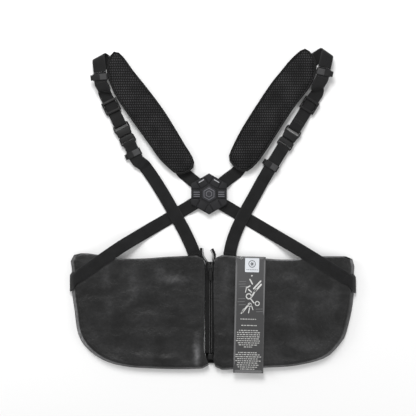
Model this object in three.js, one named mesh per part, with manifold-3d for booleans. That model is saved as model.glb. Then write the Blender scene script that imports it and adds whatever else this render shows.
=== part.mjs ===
// A two-pouch work vest with a centre zip, padded shoulder straps, a strap hub,
// side-release buckles, three-bar adjusters, elastic keepers and a hang tag.
// It lies flat, face up. Origin: centre of the hub's back face. +Y points to the
// shoulders, +Z points up out of the face. All lengths are in millimetres.
import * as THREE from 'three';
import { mergeVertices } from 'three/addons/utils/BufferGeometryUtils.js';
import Module from 'manifold-3d';

const wasm = await Module();
wasm.setup();

// ---- Driving dimensions ----------------------------------------------------
const gap = 0.3;                 // clearance between pieces that touch
const webWidth = 25.4;            // strap webbing
const webThick = 1.5;
const tapeThick = 0.8;           // zip tape

const hubFlats = 71;             // hub hexagon, across flats
const hubBaseThick = 1.8;
const hubCoverThick = 2.4;
const bossHeight = 2.6;
const petalHeight = 1.7;
const emblemFlats = 27;
const hubGroove = 1.6;

const pouchTop = -125;           // Y of the pouch mouths
const pouchHeight = 225;
const pouchGap = 19;             // between the two front panels, over the zip
const zipCentreX = 0.5;
const panelThick = 1.8;
const pouchBand = 9.8;           // depth of the side band between the panels
const bandWall = 1.6;

const padLength = 276;
const padBacking = 1.2;
const padFoam = 7.5;
const padFace = 1.5;
const padBinding = 2.2;          // width of the edge binding

const buckleLength = 44;
const buckleCheek = 2.65;        // buckle wall beside the strap slot
const buckleThick = 7.4;
const adjusterRail = 2.4;        // adjuster wall beside the strap slot
const adjusterLength = 26;
const barThick = 2.6;
const keeperLength = 13;
const keeperWall = 1.1;
const keeperTab = 5;             // sewn end of the elastic, past the strap's outer edge
const keeperTabThick = 2.2;

const tagWidth = 60;
const tagLength = 231.5;
const tagThick = 0.5;
const tagLabel = 28;

const teethWidth = 6.2;
const teethThick = 2.6;
const sliderLength = 15;
const sliderWidth = 12;

// ---- Layers above the resting surface --------------------------------------
const backTop = panelThick;
const bandBottom = backTop + gap;
const bandTop = bandBottom + pouchBand;
const frontBottom = bandTop + gap;
const frontTop = frontBottom + panelThick;
const overPouch = frontTop + gap + webThick / 2;
const webLow = webThick / 2;
const hubLow = hubBaseThick + gap + webThick / 2;
const hubHigh = hubLow + webThick + gap;
const coverBottom = hubHigh + webThick / 2 + 2 * gap;
const overWeb = webThick + gap + webThick / 2;
const padBottom = webThick + gap;
const foamBottom = padBottom + padBacking + gap;
const faceBottom = foamBottom + padFoam + gap;
const padTop = faceBottom + padFace;
const keeperRoom = keeperWall + 2 * gap + webThick / 2;
const foldRadius = (padTop + gap + keeperRoom + gap - webLow) / 2;
const zipLevel = bandBottom + pouchBand * 0.62;

// ---- Materials -------------------------------------------------------------
const looks = {
  webbing: [0x2c2c2e, 0.85], panel: [0x303032, 0.55], lining: [0x26262a, 0.8],
  mesh: [0x202024, 0.9], foam: [0x2a2a2c, 0.95], binding: [0x242426, 0.8],
  plastic: [0x252527, 0.4], hub: [0x3c3d42, 0.45], metal: [0x8f9093, 0.3],
  tag: [0x4c4d52, 0.35], label: [0xe8e8ea, 0.5], tape: [0x262628, 0.85],
};
const group = new THREE.Group();

function addMesh(name, geometry, look, into = group) {
  const [color, roughness] = looks[look];
  const metalness = look === 'metal' ? 1 : 0;
  const mesh = new THREE.Mesh(geometry, new THREE.MeshStandardMaterial({ color, roughness, metalness }));
  mesh.name = name;
  into.add(mesh);
  return mesh;
}

// ---- Geometry helpers ------------------------------------------------------
const vec = (x, y, z = 0) => new THREE.Vector3(x, y, z);
const sideOf = (direction) => vec(-direction.y, direction.x).normalize();

function smoothLine(points, steps, closed = false) {
  const curve = new THREE.CatmullRomCurve3(points, closed, 'centripetal');
  const line = curve.getSpacedPoints(steps);
  if (closed) {
    line.pop();
  }
  return line;
}

function shapeOf(outline) {
  return new THREE.Shape(outline.map((p) => new THREE.Vector2(p.x, p.y)));
}

function plate(outline, bottom, top, bevel = 0) {
  const geometry = new THREE.ExtrudeGeometry(shapeOf(outline), {
    depth: top - bottom - bevel, bevelEnabled: bevel > 0, bevelThickness: bevel, bevelSize: bevel,
    bevelOffset: -bevel, bevelSegments: 1, steps: 1, curveSegments: 12,
  });
  geometry.translate(0, 0, bottom);
  return bevel > 0 ? flattenBelow(geometry, bottom) : geometry;
}

// A moulded piece is bevelled on its upper edge only: its lower edge is pressed flat.
function flattenBelow(geometry, bottom) {
  const solid = solidOf(geometry);
  const size = 2000;
  const keep = new THREE.BoxGeometry(size, size, size);
  keep.translate(0, 0, bottom + size / 2);
  return geometryOf(solid.intersect(solidOf(keep)));
}

function solidOf(source) {
  const bare = source.clone();
  bare.deleteAttribute('normal');
  bare.deleteAttribute('uv');
  const welded = mergeVertices(bare, 1e-4);
  return new wasm.Manifold(new wasm.Mesh({
    numProp: 3,
    vertProperties: Float32Array.from(welded.attributes.position.array),
    triVerts: Uint32Array.from(welded.index.array),
  }));
}

function geometryOf(solid) {
  const { vertProperties, triVerts } = solid.getMesh();
  const geometry = new THREE.BufferGeometry();
  geometry.setAttribute('position', new THREE.BufferAttribute(Float32Array.from(vertProperties), 3));
  geometry.setIndex(new THREE.BufferAttribute(Uint32Array.from(triVerts), 1));
  return geometry;
}

const unite = (parts) => geometryOf(parts.map(solidOf).reduce((all, one) => all.add(one)));
const cut = (body, tools) => {
  const left = tools.map(solidOf).reduce((rest, tool) => rest.subtract(tool), solidOf(body));
  return geometryOf(left);
};

function block(width, length, bottom, top, x = 0, y = 0) {
  const geometry = new THREE.BoxGeometry(width, length, top - bottom);
  geometry.translate(x, y, (top + bottom) / 2);
  return geometry;
}

// Moves every corner of an outline inwards by one distance.
function inset(outline, distance) {
  const count = outline.length;
  const clockwise = THREE.ShapeUtils.isClockWise(outline) ? -1 : 1;
  return outline.map((point, index) => {
    const before = point.clone().sub(outline[(index + count - 1) % count]).normalize();
    const after = outline[(index + 1) % count].clone().sub(point).normalize();
    const normal = sideOf(before).add(sideOf(after)).multiplyScalar(clockwise);
    const stretch = 2 / Math.max(normal.lengthSq(), 0.8);
    return point.clone().add(vec(normal.x, normal.y).multiplyScalar(distance * stretch));
  });
}

// A band is lofted through stations. Each holds its two edge points and the normal.
function band(stations, thick = webThick) {
  const corners = [];
  for (const { left, right, normal } of stations) {
    const lift = normal.clone().multiplyScalar(thick / 2);
    corners.push(left.clone().sub(lift), right.clone().sub(lift));
    corners.push(right.clone().add(lift), left.clone().add(lift));
  }
  const faces = [];
  const quad = (a, b, c, d) => faces.push(a, b, c, a, c, d);
  quad(0, 1, 2, 3);
  for (let start = 0; start < corners.length - 4; start += 4) {
    for (let edge = 0; edge < 4; edge += 1) {
      const next = (edge + 1) % 4;
      quad(start + edge, start + 4 + edge, start + 4 + next, start + next);
    }
  }
  const last = corners.length - 4;
  quad(last + 3, last + 2, last + 1, last);
  const geometry = new THREE.BufferGeometry().setFromPoints(corners);
  geometry.setIndex(faces);
  return geometry;
}

// A route bends smoothly in plan, and its height eases from point to point without overshoot.
function spotOn(curve, share) {
  const place = curve.getUtoTmapping(share) * (curve.points.length - 1);
  const first = Math.min(Math.floor(place), curve.points.length - 2);
  const ease = THREE.MathUtils.smoothstep(place - first, 0, 1);
  const height = THREE.MathUtils.lerp(curve.points[first].z, curve.points[first + 1].z, ease);
  return curve.getPointAt(share).setZ(height);
}

function stationsAlong(points, steps, width = webWidth) {
  const curve = new THREE.CatmullRomCurve3(points, false, 'centripetal');
  const stations = [];
  const nudge = 0.25 / steps;
  for (let step = 0; step <= steps; step += 1) {
    const share = step / steps;
    const ahead = spotOn(curve, Math.min(1, share + nudge));
    const direction = ahead.sub(spotOn(curve, Math.max(0, share - nudge)));
    stations.push(stationAt(spotOn(curve, share), direction, width));
  }
  return stations;
}

// `across` slants the station, so that the strap can turn over an edge that it meets at an angle.
function stationAt(centre, direction, width, across = sideOf(direction)) {
  const reach = across.clone().multiplyScalar(width / 2 / across.dot(sideOf(direction)));
  const normal = direction.clone().normalize().cross(reach).normalize();
  return { left: centre.clone().add(reach), right: centre.clone().sub(reach), normal };
}

// A diagonal fold: the strap arrives along `inward`, turns half a cylinder whose axis is
// `crease`, and leaves one turn higher. Every station lies parallel to the crease.
function foldStations(meet, inward, crease, width = webWidth, radius = foldRadius, steps = 8) {
  const out = vec(-crease.y, crease.x);
  out.multiplyScalar(Math.sign(out.dot(inward)));
  const slant = inward.dot(crease) / sideOf(inward).dot(crease);
  const half = sideOf(inward).add(inward.clone().multiplyScalar(slant)).multiplyScalar(width / 2);
  const drift = inward.dot(crease) / inward.dot(out);
  const stations = [];
  for (let step = 0; step <= steps; step += 1) {
    const turn = Math.PI * step / steps;
    const centre = meet.clone().addScaledVector(crease, drift * turn * radius);
    centre.addScaledVector(out, radius * Math.sin(turn));
    centre.z += radius * (1 - Math.cos(turn));
    const normal = vec(0, 0, Math.cos(turn)).addScaledVector(out, -Math.sin(turn));
    stations.push({ left: centre.clone().add(half), right: centre.clone().sub(half), normal });
  }
  const leaving = inward.clone().addScaledVector(out, -2 * inward.dot(out)).normalize();
  const last = stations[steps];
  return { stations, leaving, end: last.left.clone().lerp(last.right, 0.5) };
}

// ---- Strap hub -------------------------------------------------------------
const hubRadius = hubFlats / Math.sqrt(3);
const polar = (radius, degrees) => {
  const angle = THREE.MathUtils.degToRad(degrees);
  return vec(radius * Math.cos(angle), radius * Math.sin(angle));
};
const hexagon = (radius, first = 90) => {
  const corners = [0, 1, 2, 3, 4, 5];
  return corners.map((corner) => polar(radius, first + corner * 60));
};
const screwRadius = 1.5;
const screwClear = webWidth / 2 + screwRadius + 3 * gap;
// Each screw sits where two straps part, clear of both: [angle, half the angle between them].
const screwSpots = [[90, 45], [-90, 36], [4, 34], [176, 33]].map(([angle, parting]) => polar(
  screwClear / Math.sin(THREE.MathUtils.degToRad(parting)), angle));
const kiteReach = hubRadius * 0.26;
const kiteApex = hubRadius * 0.48;
const coverTop = coverBottom + hubCoverThick;

function rod(radius, bottom, top, at, sides = 16) {
  const geometry = new THREE.CylinderGeometry(radius, radius, top - bottom, sides);
  geometry.rotateX(Math.PI / 2);
  geometry.translate(at.x, at.y, (top + bottom) / 2);
  return geometry;
}

function hubBosses() {
  const corners = hexagon(hubRadius);
  const bosses = [];
  const sink = 0.4;
  corners.forEach((corner, index) => {
    const next = corners[(index + 1) % 6];
    const before = corners[(index + 5) % 6];
    const along = (to) => to.clone().sub(corner).setLength(kiteReach).add(corner);
    const apex = corner.clone().setLength(kiteApex);
    const kite = inset([corner, along(next), apex, along(before)], hubGroove / 2);
    bosses.push(plate(kite, coverTop - sink, coverTop + bossHeight, 0.7));
    const back = corner.clone().sub(next).setLength(kiteReach).add(next);
    const petal = inset([along(next), back, next.clone().setLength(kiteApex), apex], hubGroove / 2);
    bosses.push(plate(petal, coverTop - sink, coverTop + petalHeight, 1));
  });
  return bosses;
}

function buildHub() {
  const holes = screwSpots.map((spot) => rod(screwRadius + gap, -1, coverBottom + hubCoverThick * 0.6, spot));
  const base = plate(hexagon(hubRadius), 0, hubBaseThick);
  addMesh('hub_base_plate', cut(base, holes), 'hub');
  const floor = plate(hexagon(hubRadius), coverBottom, coverTop);
  const ring = plate(hexagon(emblemFlats / Math.sqrt(3) + 2.4), coverTop - 0.4, coverTop + petalHeight, 0.6);
  const seat = plate(hexagon(emblemFlats / Math.sqrt(3) + gap), coverTop, coverTop + bossHeight);
  addMesh('hub_cover', cut(unite([floor, ...hubBosses(), ring]), [seat, ...holes]), 'hub');
  const nested = [1, 0.72, 0.42].map((share, level) => plate(
    hexagon(emblemFlats / Math.sqrt(3) * share), coverTop + gap, coverTop + gap + 0.7 + level * 0.35));
  addMesh('hub_emblem', unite(nested), 'hub');
  screwSpots.forEach((spot, index) => {
    const top = coverBottom + hubCoverThick * 0.6 - gap;
    addMesh(`hub_screw_${index + 1}`, rod(screwRadius, gap, top, spot), 'metal');
  });
}

// ---- Pouches ---------------------------------------------------------------
// Outline points: share of the width from the zip side, share of the height from the mouth.
const pouchFlare = 7;
const pouchDrop = 5;
const pouches = [
  { side: 'left', sign: -1, width: 267, outline: [
    [0.01, 0.012], [0.045, -0.008], [0.15, -0.005], [0.29, 0.003], [0.45, 0.017], [0.67, 0.015],
    [0.81, -0.018], [0.91, -0.03], [0.98, -0.012], [1, 0.03], [0.992, 0.13],
    [0.992, 0.3], [0.97, 0.5], [0.955, 0.64],
    [0.928, 0.735], [0.866, 0.83], [0.777, 0.907], [0.69, 0.95], [0.568, 0.98], [0.417, 0.992], [0.19, 1],
    [0.07, 0.997], [-0.015, 0.985], [-0.032, 0.955], [-0.02, 0.925], [0, 0.88], [0, 0.45], [0, 0.07]] },
  { side: 'right', sign: 1, width: 280, outline: [
    [0.01, 0.012], [0.04, -0.01], [0.17, -0.004], [0.375, 0.018], [0.51, 0.027], [0.62, 0.02], [0.66, 0.002],
    [0.82, -0.002], [0.9, -0.002], [0.975, 0.008], [1, 0.06], [0.996, 0.18], [1, 0.28], [0.985, 0.46],
    [0.965, 0.575], [0.931, 0.72], [0.89, 0.79], [0.82, 0.88], [0.745, 0.923], [0.66, 0.95], [0.55, 0.974],
    [0.36, 0.987], [0.14, 0.998], [0.07, 1.008], [0.02, 0.99], [-0.006, 0.94], [0, 0.88],
    [0, 0.45], [0, 0.07]] },
];

const innerEdge = (pouch) => zipCentreX + pouch.sign * pouchGap / 2;

// The front panel is a little smaller than the back one, so that the side band leans outwards.
function pouchOutline(pouch, steps, front) {
  const width = pouch.width - (front ? pouchFlare : 0);
  const height = pouchHeight - (front ? pouchDrop : 0);
  const points = pouch.outline.map(([across, down]) => vec(
    innerEdge(pouch) + pouch.sign * across * width, pouchTop - down * height));
  return smoothLine(points, steps, true);
}

function onPouchEdge(pouch, down) {
  const level = pouchTop - down * pouchHeight;
  const near = pouchOutline(pouch, 240, false).filter((p) => Math.abs(p.y - level) < 4);
  return near.reduce((best, p) => (p.x * pouch.sign > best.x * pouch.sign ? p : best));
}

function buildPouch(pouch) {
  const steps = 64;
  const back = pouchOutline(pouch, steps, false);
  const front = pouchOutline(pouch, steps, true);
  addMesh(`${pouch.side}_pouch_back_panel`, plate(back, 0, backTop), 'lining');
  addMesh(`${pouch.side}_pouch_front_panel`, plate(front, frontBottom, frontTop, 0.6), 'panel');
  const stations = [];
  const lip = 0.25;
  back.forEach((low, index) => {
    const high = front[index];
    const across = (low.x - innerEdge(pouch)) * pouch.sign / pouch.width;
    const down = (pouchTop - low.y) / pouchHeight;
    const mouth = down < 0.045 && across < 0.96;
    if (mouth) {
      return;
    }
    const before = back[(index + steps - 1) % steps];
    const after = back[(index + 1) % steps];
    const out = sideOf(after.clone().sub(before)).multiplyScalar(pouch.sign);
    const shift = out.clone().multiplyScalar(-bandWall / 2 - lip);
    stations.push({
      left: low.clone().add(shift).setZ(bandBottom + lip),
      right: high.clone().add(shift).setZ(bandTop - lip),
      normal: out,
    });
  });
  addMesh(`${pouch.side}_pouch_side_band`, closedOut(band(stations, bandWall)), 'panel');
}

// Turns a lofted band right side out when its stations run the other way round.
function closedOut(geometry) {
  const position = geometry.attributes.position;
  const index = geometry.index.array;
  let volume = 0;
  const corner = [vec(0, 0), vec(0, 0), vec(0, 0)];
  for (let at = 0; at < index.length; at += 3) {
    corner.forEach((c, k) => c.fromBufferAttribute(position, index[at + k]));
    volume += corner[0].dot(corner[1].clone().cross(corner[2]));
  }
  if (volume < 0) {
    for (let at = 0; at < index.length; at += 3) {
      [index[at + 1], index[at + 2]] = [index[at + 2], index[at + 1]];
    }
  }
  return geometry;
}

// ---- Shoulder pads ---------------------------------------------------------
// Outline points: share of the length from the hub end, distance towards the neck.
const pads = [
  { side: 'left', foot: vec(-55, 48), heading: vec(-0.514, 0.857), neck: vec(0.857, 0.514), outline: [
    [0.985, 6], [0.955, 14], [0.78, 20], [0.62, 26], [0.44, 31], [0.3, 32], [0.13, 32], [0.06, 32.5],
    [0.008, 31], [-0.028, 24], [-0.04, 12], [-0.03, -3], [0, -14], [0.07, -21], [0.15, -26.5], [0.27, -29],
    [0.54, -35], [0.63, -36], [0.74, -36], [0.88, -28], [0.95, -13]] },
  { side: 'right', foot: vec(60, 50), heading: vec(0.518, 0.856), neck: vec(-0.856, 0.518), outline: [
    [0.99, 12], [0.955, 18], [0.87, 25], [0.75, 30], [0.66, 33.5], [0.48, 36], [0.25, 37], [0.11, 34],
    [0.03, 29.5], [0, 17], [-0.01, 0], [0.007, -15], [0.05, -21], [0.12, -25.5], [0.22, -27.5], [0.35, -28.5],
    [0.6, -31], [0.75, -36], [0.87, -33], [0.95, -20], [0.985, -3]] },
];

function padPoint(pad, along, across) {
  return pad.foot.clone().addScaledVector(pad.heading, along * padLength).addScaledVector(pad.neck, across);
}

function buildPad(pad) {
  const edge = smoothLine(pad.outline.map(([along, across]) => padPoint(pad, along, across)), 56, true);
  const core = inset(edge, padBinding + gap);
  const bindTop = padTop + gap;
  const ring = cut(plate(edge, padBottom, bindTop, 0.5), [plate(inset(edge, padBinding), 0, bindTop + 2)]);
  addMesh(`${pad.side}_pad_binding`, ring, 'binding');
  addMesh(`${pad.side}_pad_backing`, plate(core, padBottom, padBottom + padBacking), 'lining');
  addMesh(`${pad.side}_pad_foam`, plate(core, foamBottom, foamBottom + padFoam), 'foam');
  addMesh(`${pad.side}_pad_mesh_face`, plate(core, faceBottom, padTop), 'mesh');
}

// ---- Straps ----------------------------------------------------------------
const crease = (degrees) => polar(1, degrees);
const sides = [
  {
    side: 'left', sign: -1, pad: pads[0], pouch: pouches[0], hubLevel: { shoulder: hubLow, back: hubHigh },
    meet: [0.98, -6.9], arrive: polar(1, 141), crease: crease(28.5), wrapDown: 0.222,
    bow: [6, 1.6], hubShift: -1,
    upper: [0.783, -36.6], adjuster: [0.656, -42.4], buckle: [0.435, -47.7], keeperDrop: 43.7,
    lower: [vec(-126.5, 53), vec(-105, 22), vec(-74, -30), vec(-44.5, -84)], mouth: [-28.5, 1],
  },
  {
    side: 'right', sign: 1, pad: pads[1], pouch: pouches[1], hubLevel: { shoulder: hubHigh, back: hubLow },
    meet: [1.024, -10.9], arrive: polar(1, 32), crease: crease(-35.3), wrapDown: 0.237,
    bow: [1.5, 2], hubShift: -4.5,
    upper: [0.801, -35.9], adjuster: [0.657, -41.3], buckle: [0.379, -40.4], keeperDrop: 66,
    lower: [vec(107.5, 27), vec(95, 4), vec(63.5, -54), vec(48.5, -90)], mouth: [41, 2],
  },
];

const buckleHeading = (one) => one.adjuster.clone().sub(one.buckle).normalize();

// Places along the front straps are given beside the pad: a share of its length, and the
// distance from its middle line to the strap's nearer edge.
for (const one of sides) {
  const beside = ([along, edge]) => padPoint(one.pad, along, edge - webWidth / 2);
  for (const key of ['meet', 'upper', 'adjuster', 'buckle']) {
    one[key] = beside(one[key]);
  }
  one.keeper = one.buckle.clone().addScaledVector(buckleHeading(one), -one.keeperDrop);
  one.mouth = vec(one.mouth[0], pouchTop + one.mouth[1]);
}

const hubButt = 4;               // from the hub's centre to each strap's end
const hubExit = 46;
const lapSeam = padLength * 0.085;  // strap length past the fold, up to the lap seam
const foldTop = webLow + 2 * foldRadius;

function buildBackStrap(one) {
  const wrap = onPouchEdge(one.pouch, one.wrapDown);
  const start = vec(0, one.hubShift);
  const run = wrap.clone().sub(start);
  const heading = run.clone().normalize();
  const bowSide = sideOf(heading).multiplyScalar(one.sign);
  const [bow, lean] = one.bow;
  const reach = run.length();
  const at = (along, level) => {
    const share = along / reach;
    const bowed = bow * Math.sin(Math.PI * share ** lean);
    const spot = start.clone().addScaledVector(heading, along).addScaledVector(bowSide, bowed);
    return spot.setZ(level);
  };
  const slope = heading.y / Math.abs(heading.x);
  const clear = gap + webThick / 2;
  const frontEdge = Math.abs(wrap.x) - pouchFlare;
  const past = (distance) => (frontEdge + distance) / Math.abs(heading.x);
  const route = [
    at(hubButt, one.hubLevel.back), at(hubExit - 5, one.hubLevel.back), at(hubExit + 16, webLow),
    at(115, webLow), at(150, webLow + 2), at(193, overPouch - 0.4), at(208, overPouch),
    at(past(-16), overPouch),
  ];
  const stations = stationsAlong(route, 34);
  const tuck = 1.2;              // how far the strap's end leans in below the wall
  const edge = vec(0, one.sign);
  const flat = vec(one.sign, slope);
  const down = vec(one.sign * pouchFlare, slope * pouchBand, bandBottom - bandTop);
  stations.push(stationAt(at(past(clear * 0.4), overPouch), flat, webWidth, edge));
  const turned = at(past(clear + 0.5), overPouch - clear * 0.5);
  stations.push(stationAt(turned, down.clone().add(flat), webWidth, edge));
  const foot = turned.clone().add(down);
  foot.x += one.sign * tuck;
  stations.push(stationAt(foot, down, webWidth, edge));
  addMesh(`${one.side}_back_strap`, closedOut(band(stations)), 'webbing');
}

function foldOf(one) {
  return foldStations(one.meet.clone().setZ(webLow), one.arrive, one.crease);
}

function buildShoulderStrap(one) {
  const foot = padPoint(one.pad, -0.02, 0);
  const out = foot.clone().setLength(1);
  const fold = foldOf(one);
  const before = one.meet.clone().addScaledVector(one.arrive, -webWidth);
  const route = [
    out.clone().multiplyScalar(hubButt).setZ(one.hubLevel.shoulder),
    out.clone().multiplyScalar(hubExit - 7).setZ(one.hubLevel.shoulder),
    out.clone().multiplyScalar(hubExit + 8).setZ(webLow), foot.clone().setZ(webLow),
    padPoint(one.pad, 0.35, 0).setZ(webLow), padPoint(one.pad, 0.7, -6).setZ(webLow),
    before.clone().addScaledVector(one.arrive, -22).setZ(webLow), before.clone().setZ(webLow),
  ];
  const stations = [...stationsAlong(route, 36), ...fold.stations];
  for (const past of [0.75, 1]) {
    stations.push(topStation(fold.end.clone().addScaledVector(fold.leaving, lapSeam * past), fold.leaving));
  }
  addMesh(`${one.side}_shoulder_strap`, closedOut(band(stations)), 'webbing');
}

// After the fold the strap lies face down, so its two edges have changed places.
function topStation(centre, direction) {
  const { left, right, normal } = stationAt(centre, direction, webWidth);
  return { left: right, right: left, normal: normal.negate() };
}

const barHalf = 1.3;             // half the section of the bars inside the strap loops
const loopRadius = barHalf * Math.SQRT2 + gap + webThick / 2;
const loopLow = keeperWall + gap + webThick / 2;
const barLevel = loopLow + loopRadius;
const loopTop = barLevel + loopRadius;
const barReach = buckleLength / 2 - 2;
const adjusterLevel = barThick + 2 * gap + webThick / 2;

// Stations that come in low, go round a bar and leave high.
function loopStations(bar, toward, tailSpots) {
  const near = bar.clone().addScaledVector(toward, -6);
  const stations = stationsAlong([...tailSpots, near].map((spot) => spot.clone().setZ(loopLow)), 8);
  const steps = 8;
  for (let step = 0; step <= steps; step += 1) {
    const turn = Math.PI * step / steps;
    const spot = bar.clone().addScaledVector(toward, loopRadius * Math.sin(turn));
    spot.z = barLevel - loopRadius * Math.cos(turn);
    const side = sideOf(toward).multiplyScalar(webWidth / 2);
    const normal = toward.clone().multiplyScalar(-Math.sin(turn)).setZ(Math.cos(turn));
    stations.push({ left: spot.clone().add(side), right: spot.clone().sub(side), normal });
  }
  return stations;
}

// From the lap seam at the pad's top down through the adjuster to the socket's bar.
function upperRoute(one) {
  const fold = foldOf(one);
  const toward = buckleHeading(one).negate();
  const bar = one.buckle.clone().addScaledVector(toward, -barReach);
  const start = fold.end.clone().addScaledVector(fold.leaving, lapSeam + gap);
  const level = (spot, z) => spot.clone().setZ(z);
  const held = start.clone().addScaledVector(fold.leaving, lapClear + keeperLength + keeperTravel);
  return [
    level(start, foldTop), level(start.clone().lerp(held, 0.5), foldTop), level(held, foldTop),
    level(one.upper, foldTop - 1),
    level(one.adjuster.clone().addScaledVector(toward, -adjusterLength - 4), adjusterLevel + 1.2),
    level(one.adjuster.clone().addScaledVector(toward, -adjusterLength * 0.6), adjusterLevel),
    level(one.adjuster.clone().addScaledVector(toward, adjusterLength * 0.6), adjusterLevel),
    level(bar.clone().addScaledVector(toward, -14), loopTop),
    level(bar.clone().addScaledVector(toward, -8), loopTop),
  ];
}

// A strap that has gone round a bar comes back the other way up.
const faceDown = ({ left, right, normal }) => ({ left: right, right: left, normal: normal.negate() });

function buildUpperStrap(one) {
  const toward = buckleHeading(one).negate();
  const bar = one.buckle.clone().addScaledVector(toward, -barReach);
  const tailEnd = bar.clone().addScaledVector(toward, -22);
  const going = stationsAlong(upperRoute(one).reverse(), 36).map(faceDown);
  const loop = loopStations(bar, toward, [tailEnd]);
  addMesh(`${one.side}_front_strap_upper`, closedOut(band([...loop, ...going])), 'webbing');
}

function buildLowerStrap(one) {
  const heading = buckleHeading(one);
  const bar = one.buckle.clone().addScaledVector(heading, -barReach);
  const keeper = one.keeper;
  const away = keeper.clone().sub(bar).normalize();
  const inside = bandBottom + webLow + 0.6;
  const route = [
    bar.clone().addScaledVector(heading, -7).setZ(loopTop), keeper.clone().setZ(loopTop),
    keeper.clone().addScaledVector(away, keeperLength / 2 + keeperTravel + lapClear).setZ(loopTop),
    keeper.clone().lerp(one.lower[0], 0.8).setZ(loopTop - 1.6),
    ...one.lower.map((spot) => spot.clone().setZ(overWeb + 0.5)),
    one.mouth.clone().setZ(inside), one.mouth.clone().add(vec(0, -16, inside)),
  ];
  const tailSpots = [keeper.clone().addScaledVector(away, 18), keeper];
  const loop = loopStations(bar, heading, tailSpots);
  const onward = stationsAlong(route, 40).map(faceDown);
  addMesh(`${one.side}_front_strap_lower`, closedOut(band([...loop, ...onward])), 'webbing');
}

// ---- Keepers, adjusters and buckles ----------------------------------------
const trackWidth = webWidth / 2 + gap * 3;
const keeperTravel = 6;          // how far a keeper may slide
const lapClear = 3;              // from the lap seam to the upper keeper
const tabStep = 1;               // how much shorter the tab is at each end
const lowerTabSide = -1;         // both lower keepers have their tab on the same hand

function placed(at, heading) {
  const holder = new THREE.Group();
  holder.position.copy(at.clone().setZ(0));
  holder.rotation.z = Math.atan2(heading.y, heading.x) - Math.PI / 2;
  group.add(holder);
  return holder;
}

function buildKeeper(name, at, heading, low, high, outside) {
  const inner = webThick / 2 + gap;
  const width = 2 * trackWidth;
  const half = trackWidth + keeperWall;
  const outer = block(2 * half, keeperLength, low - inner - keeperWall, high + inner + keeperWall);
  const hole = block(width, keeperLength * 2, low - inner, high + inner);
  const middle = (low + high) / 2;
  const tabSide = Math.sign(heading.y * outside);
  const tabMiddle = tabSide * (half + (keeperTab - keeperWall / 2) / 2);
  const tabLow = middle - keeperTabThick / 2;
  const tab = block(
    keeperTab + keeperWall / 2, keeperLength - 2 * tabStep, tabLow, tabLow + keeperTabThick, tabMiddle);
  addMesh(name, unite([cut(outer, [hole]), tab]), 'webbing', placed(at, heading));
}

const endBarWidth = 4.4;
const middleBarWidth = 5;

function buildAdjuster(one) {
  const slotTop = adjusterLevel + webThick / 2 + gap;
  const slotBottom = adjusterLevel - webThick / 2 - gap;
  const low = slotBottom - barThick;
  const half = trackWidth + adjusterRail;
  const top = slotTop + barThick;
  const railAt = (half + trackWidth) / 2;
  const barAt = (adjusterLength - endBarWidth) / 2;
  const rail = (sign) => block(half - trackWidth, adjusterLength, low, top, sign * railAt);
  const endBar = (sign) => block(2 * half, endBarWidth, slotTop, top, 0, sign * barAt);
  const middle = block(2 * half, middleBarWidth, low, slotBottom);
  const body = unite([rail(-1), rail(1), endBar(-1), endBar(1), middle]);
  addMesh(`${one.side}_adjuster`, body, 'plastic', placed(one.adjuster, buckleHeading(one)));
}

const armSpan = webWidth / 2 - 1.5;  // from the buckle's middle line to the arm's shoulder
const shell = 1.3;
const socketDaylight = 4;        // open slot between the strap loop and the body
const plugDaylight = 1.4;
const edgeRound = 1.2;

// What is cut from a buckle's end so that a strap can loop round its bar.
function barCuts(sign, bottom, top, daylight) {
  const width = 2 * trackWidth;
  const slotEnd = barReach - loopRadius - webThick / 2 - 2 * gap - daylight;
  const barEdge = barReach - barHalf;
  const slot = block(width, barEdge - slotEnd, -1, top + 1, 0, sign * (barEdge + slotEnd) / 2);
  const above = block(width, 9, barLevel + barHalf, top + 1, 0, sign * (barReach + 2));
  const below = block(width, 9, -1, barLevel - barHalf, 0, sign * (barReach + 2));
  const beyond = block(width, 6, -1, top + 1, 0, sign * (barReach + barHalf + 3));
  return [slot, above, below, beyond];
}

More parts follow.
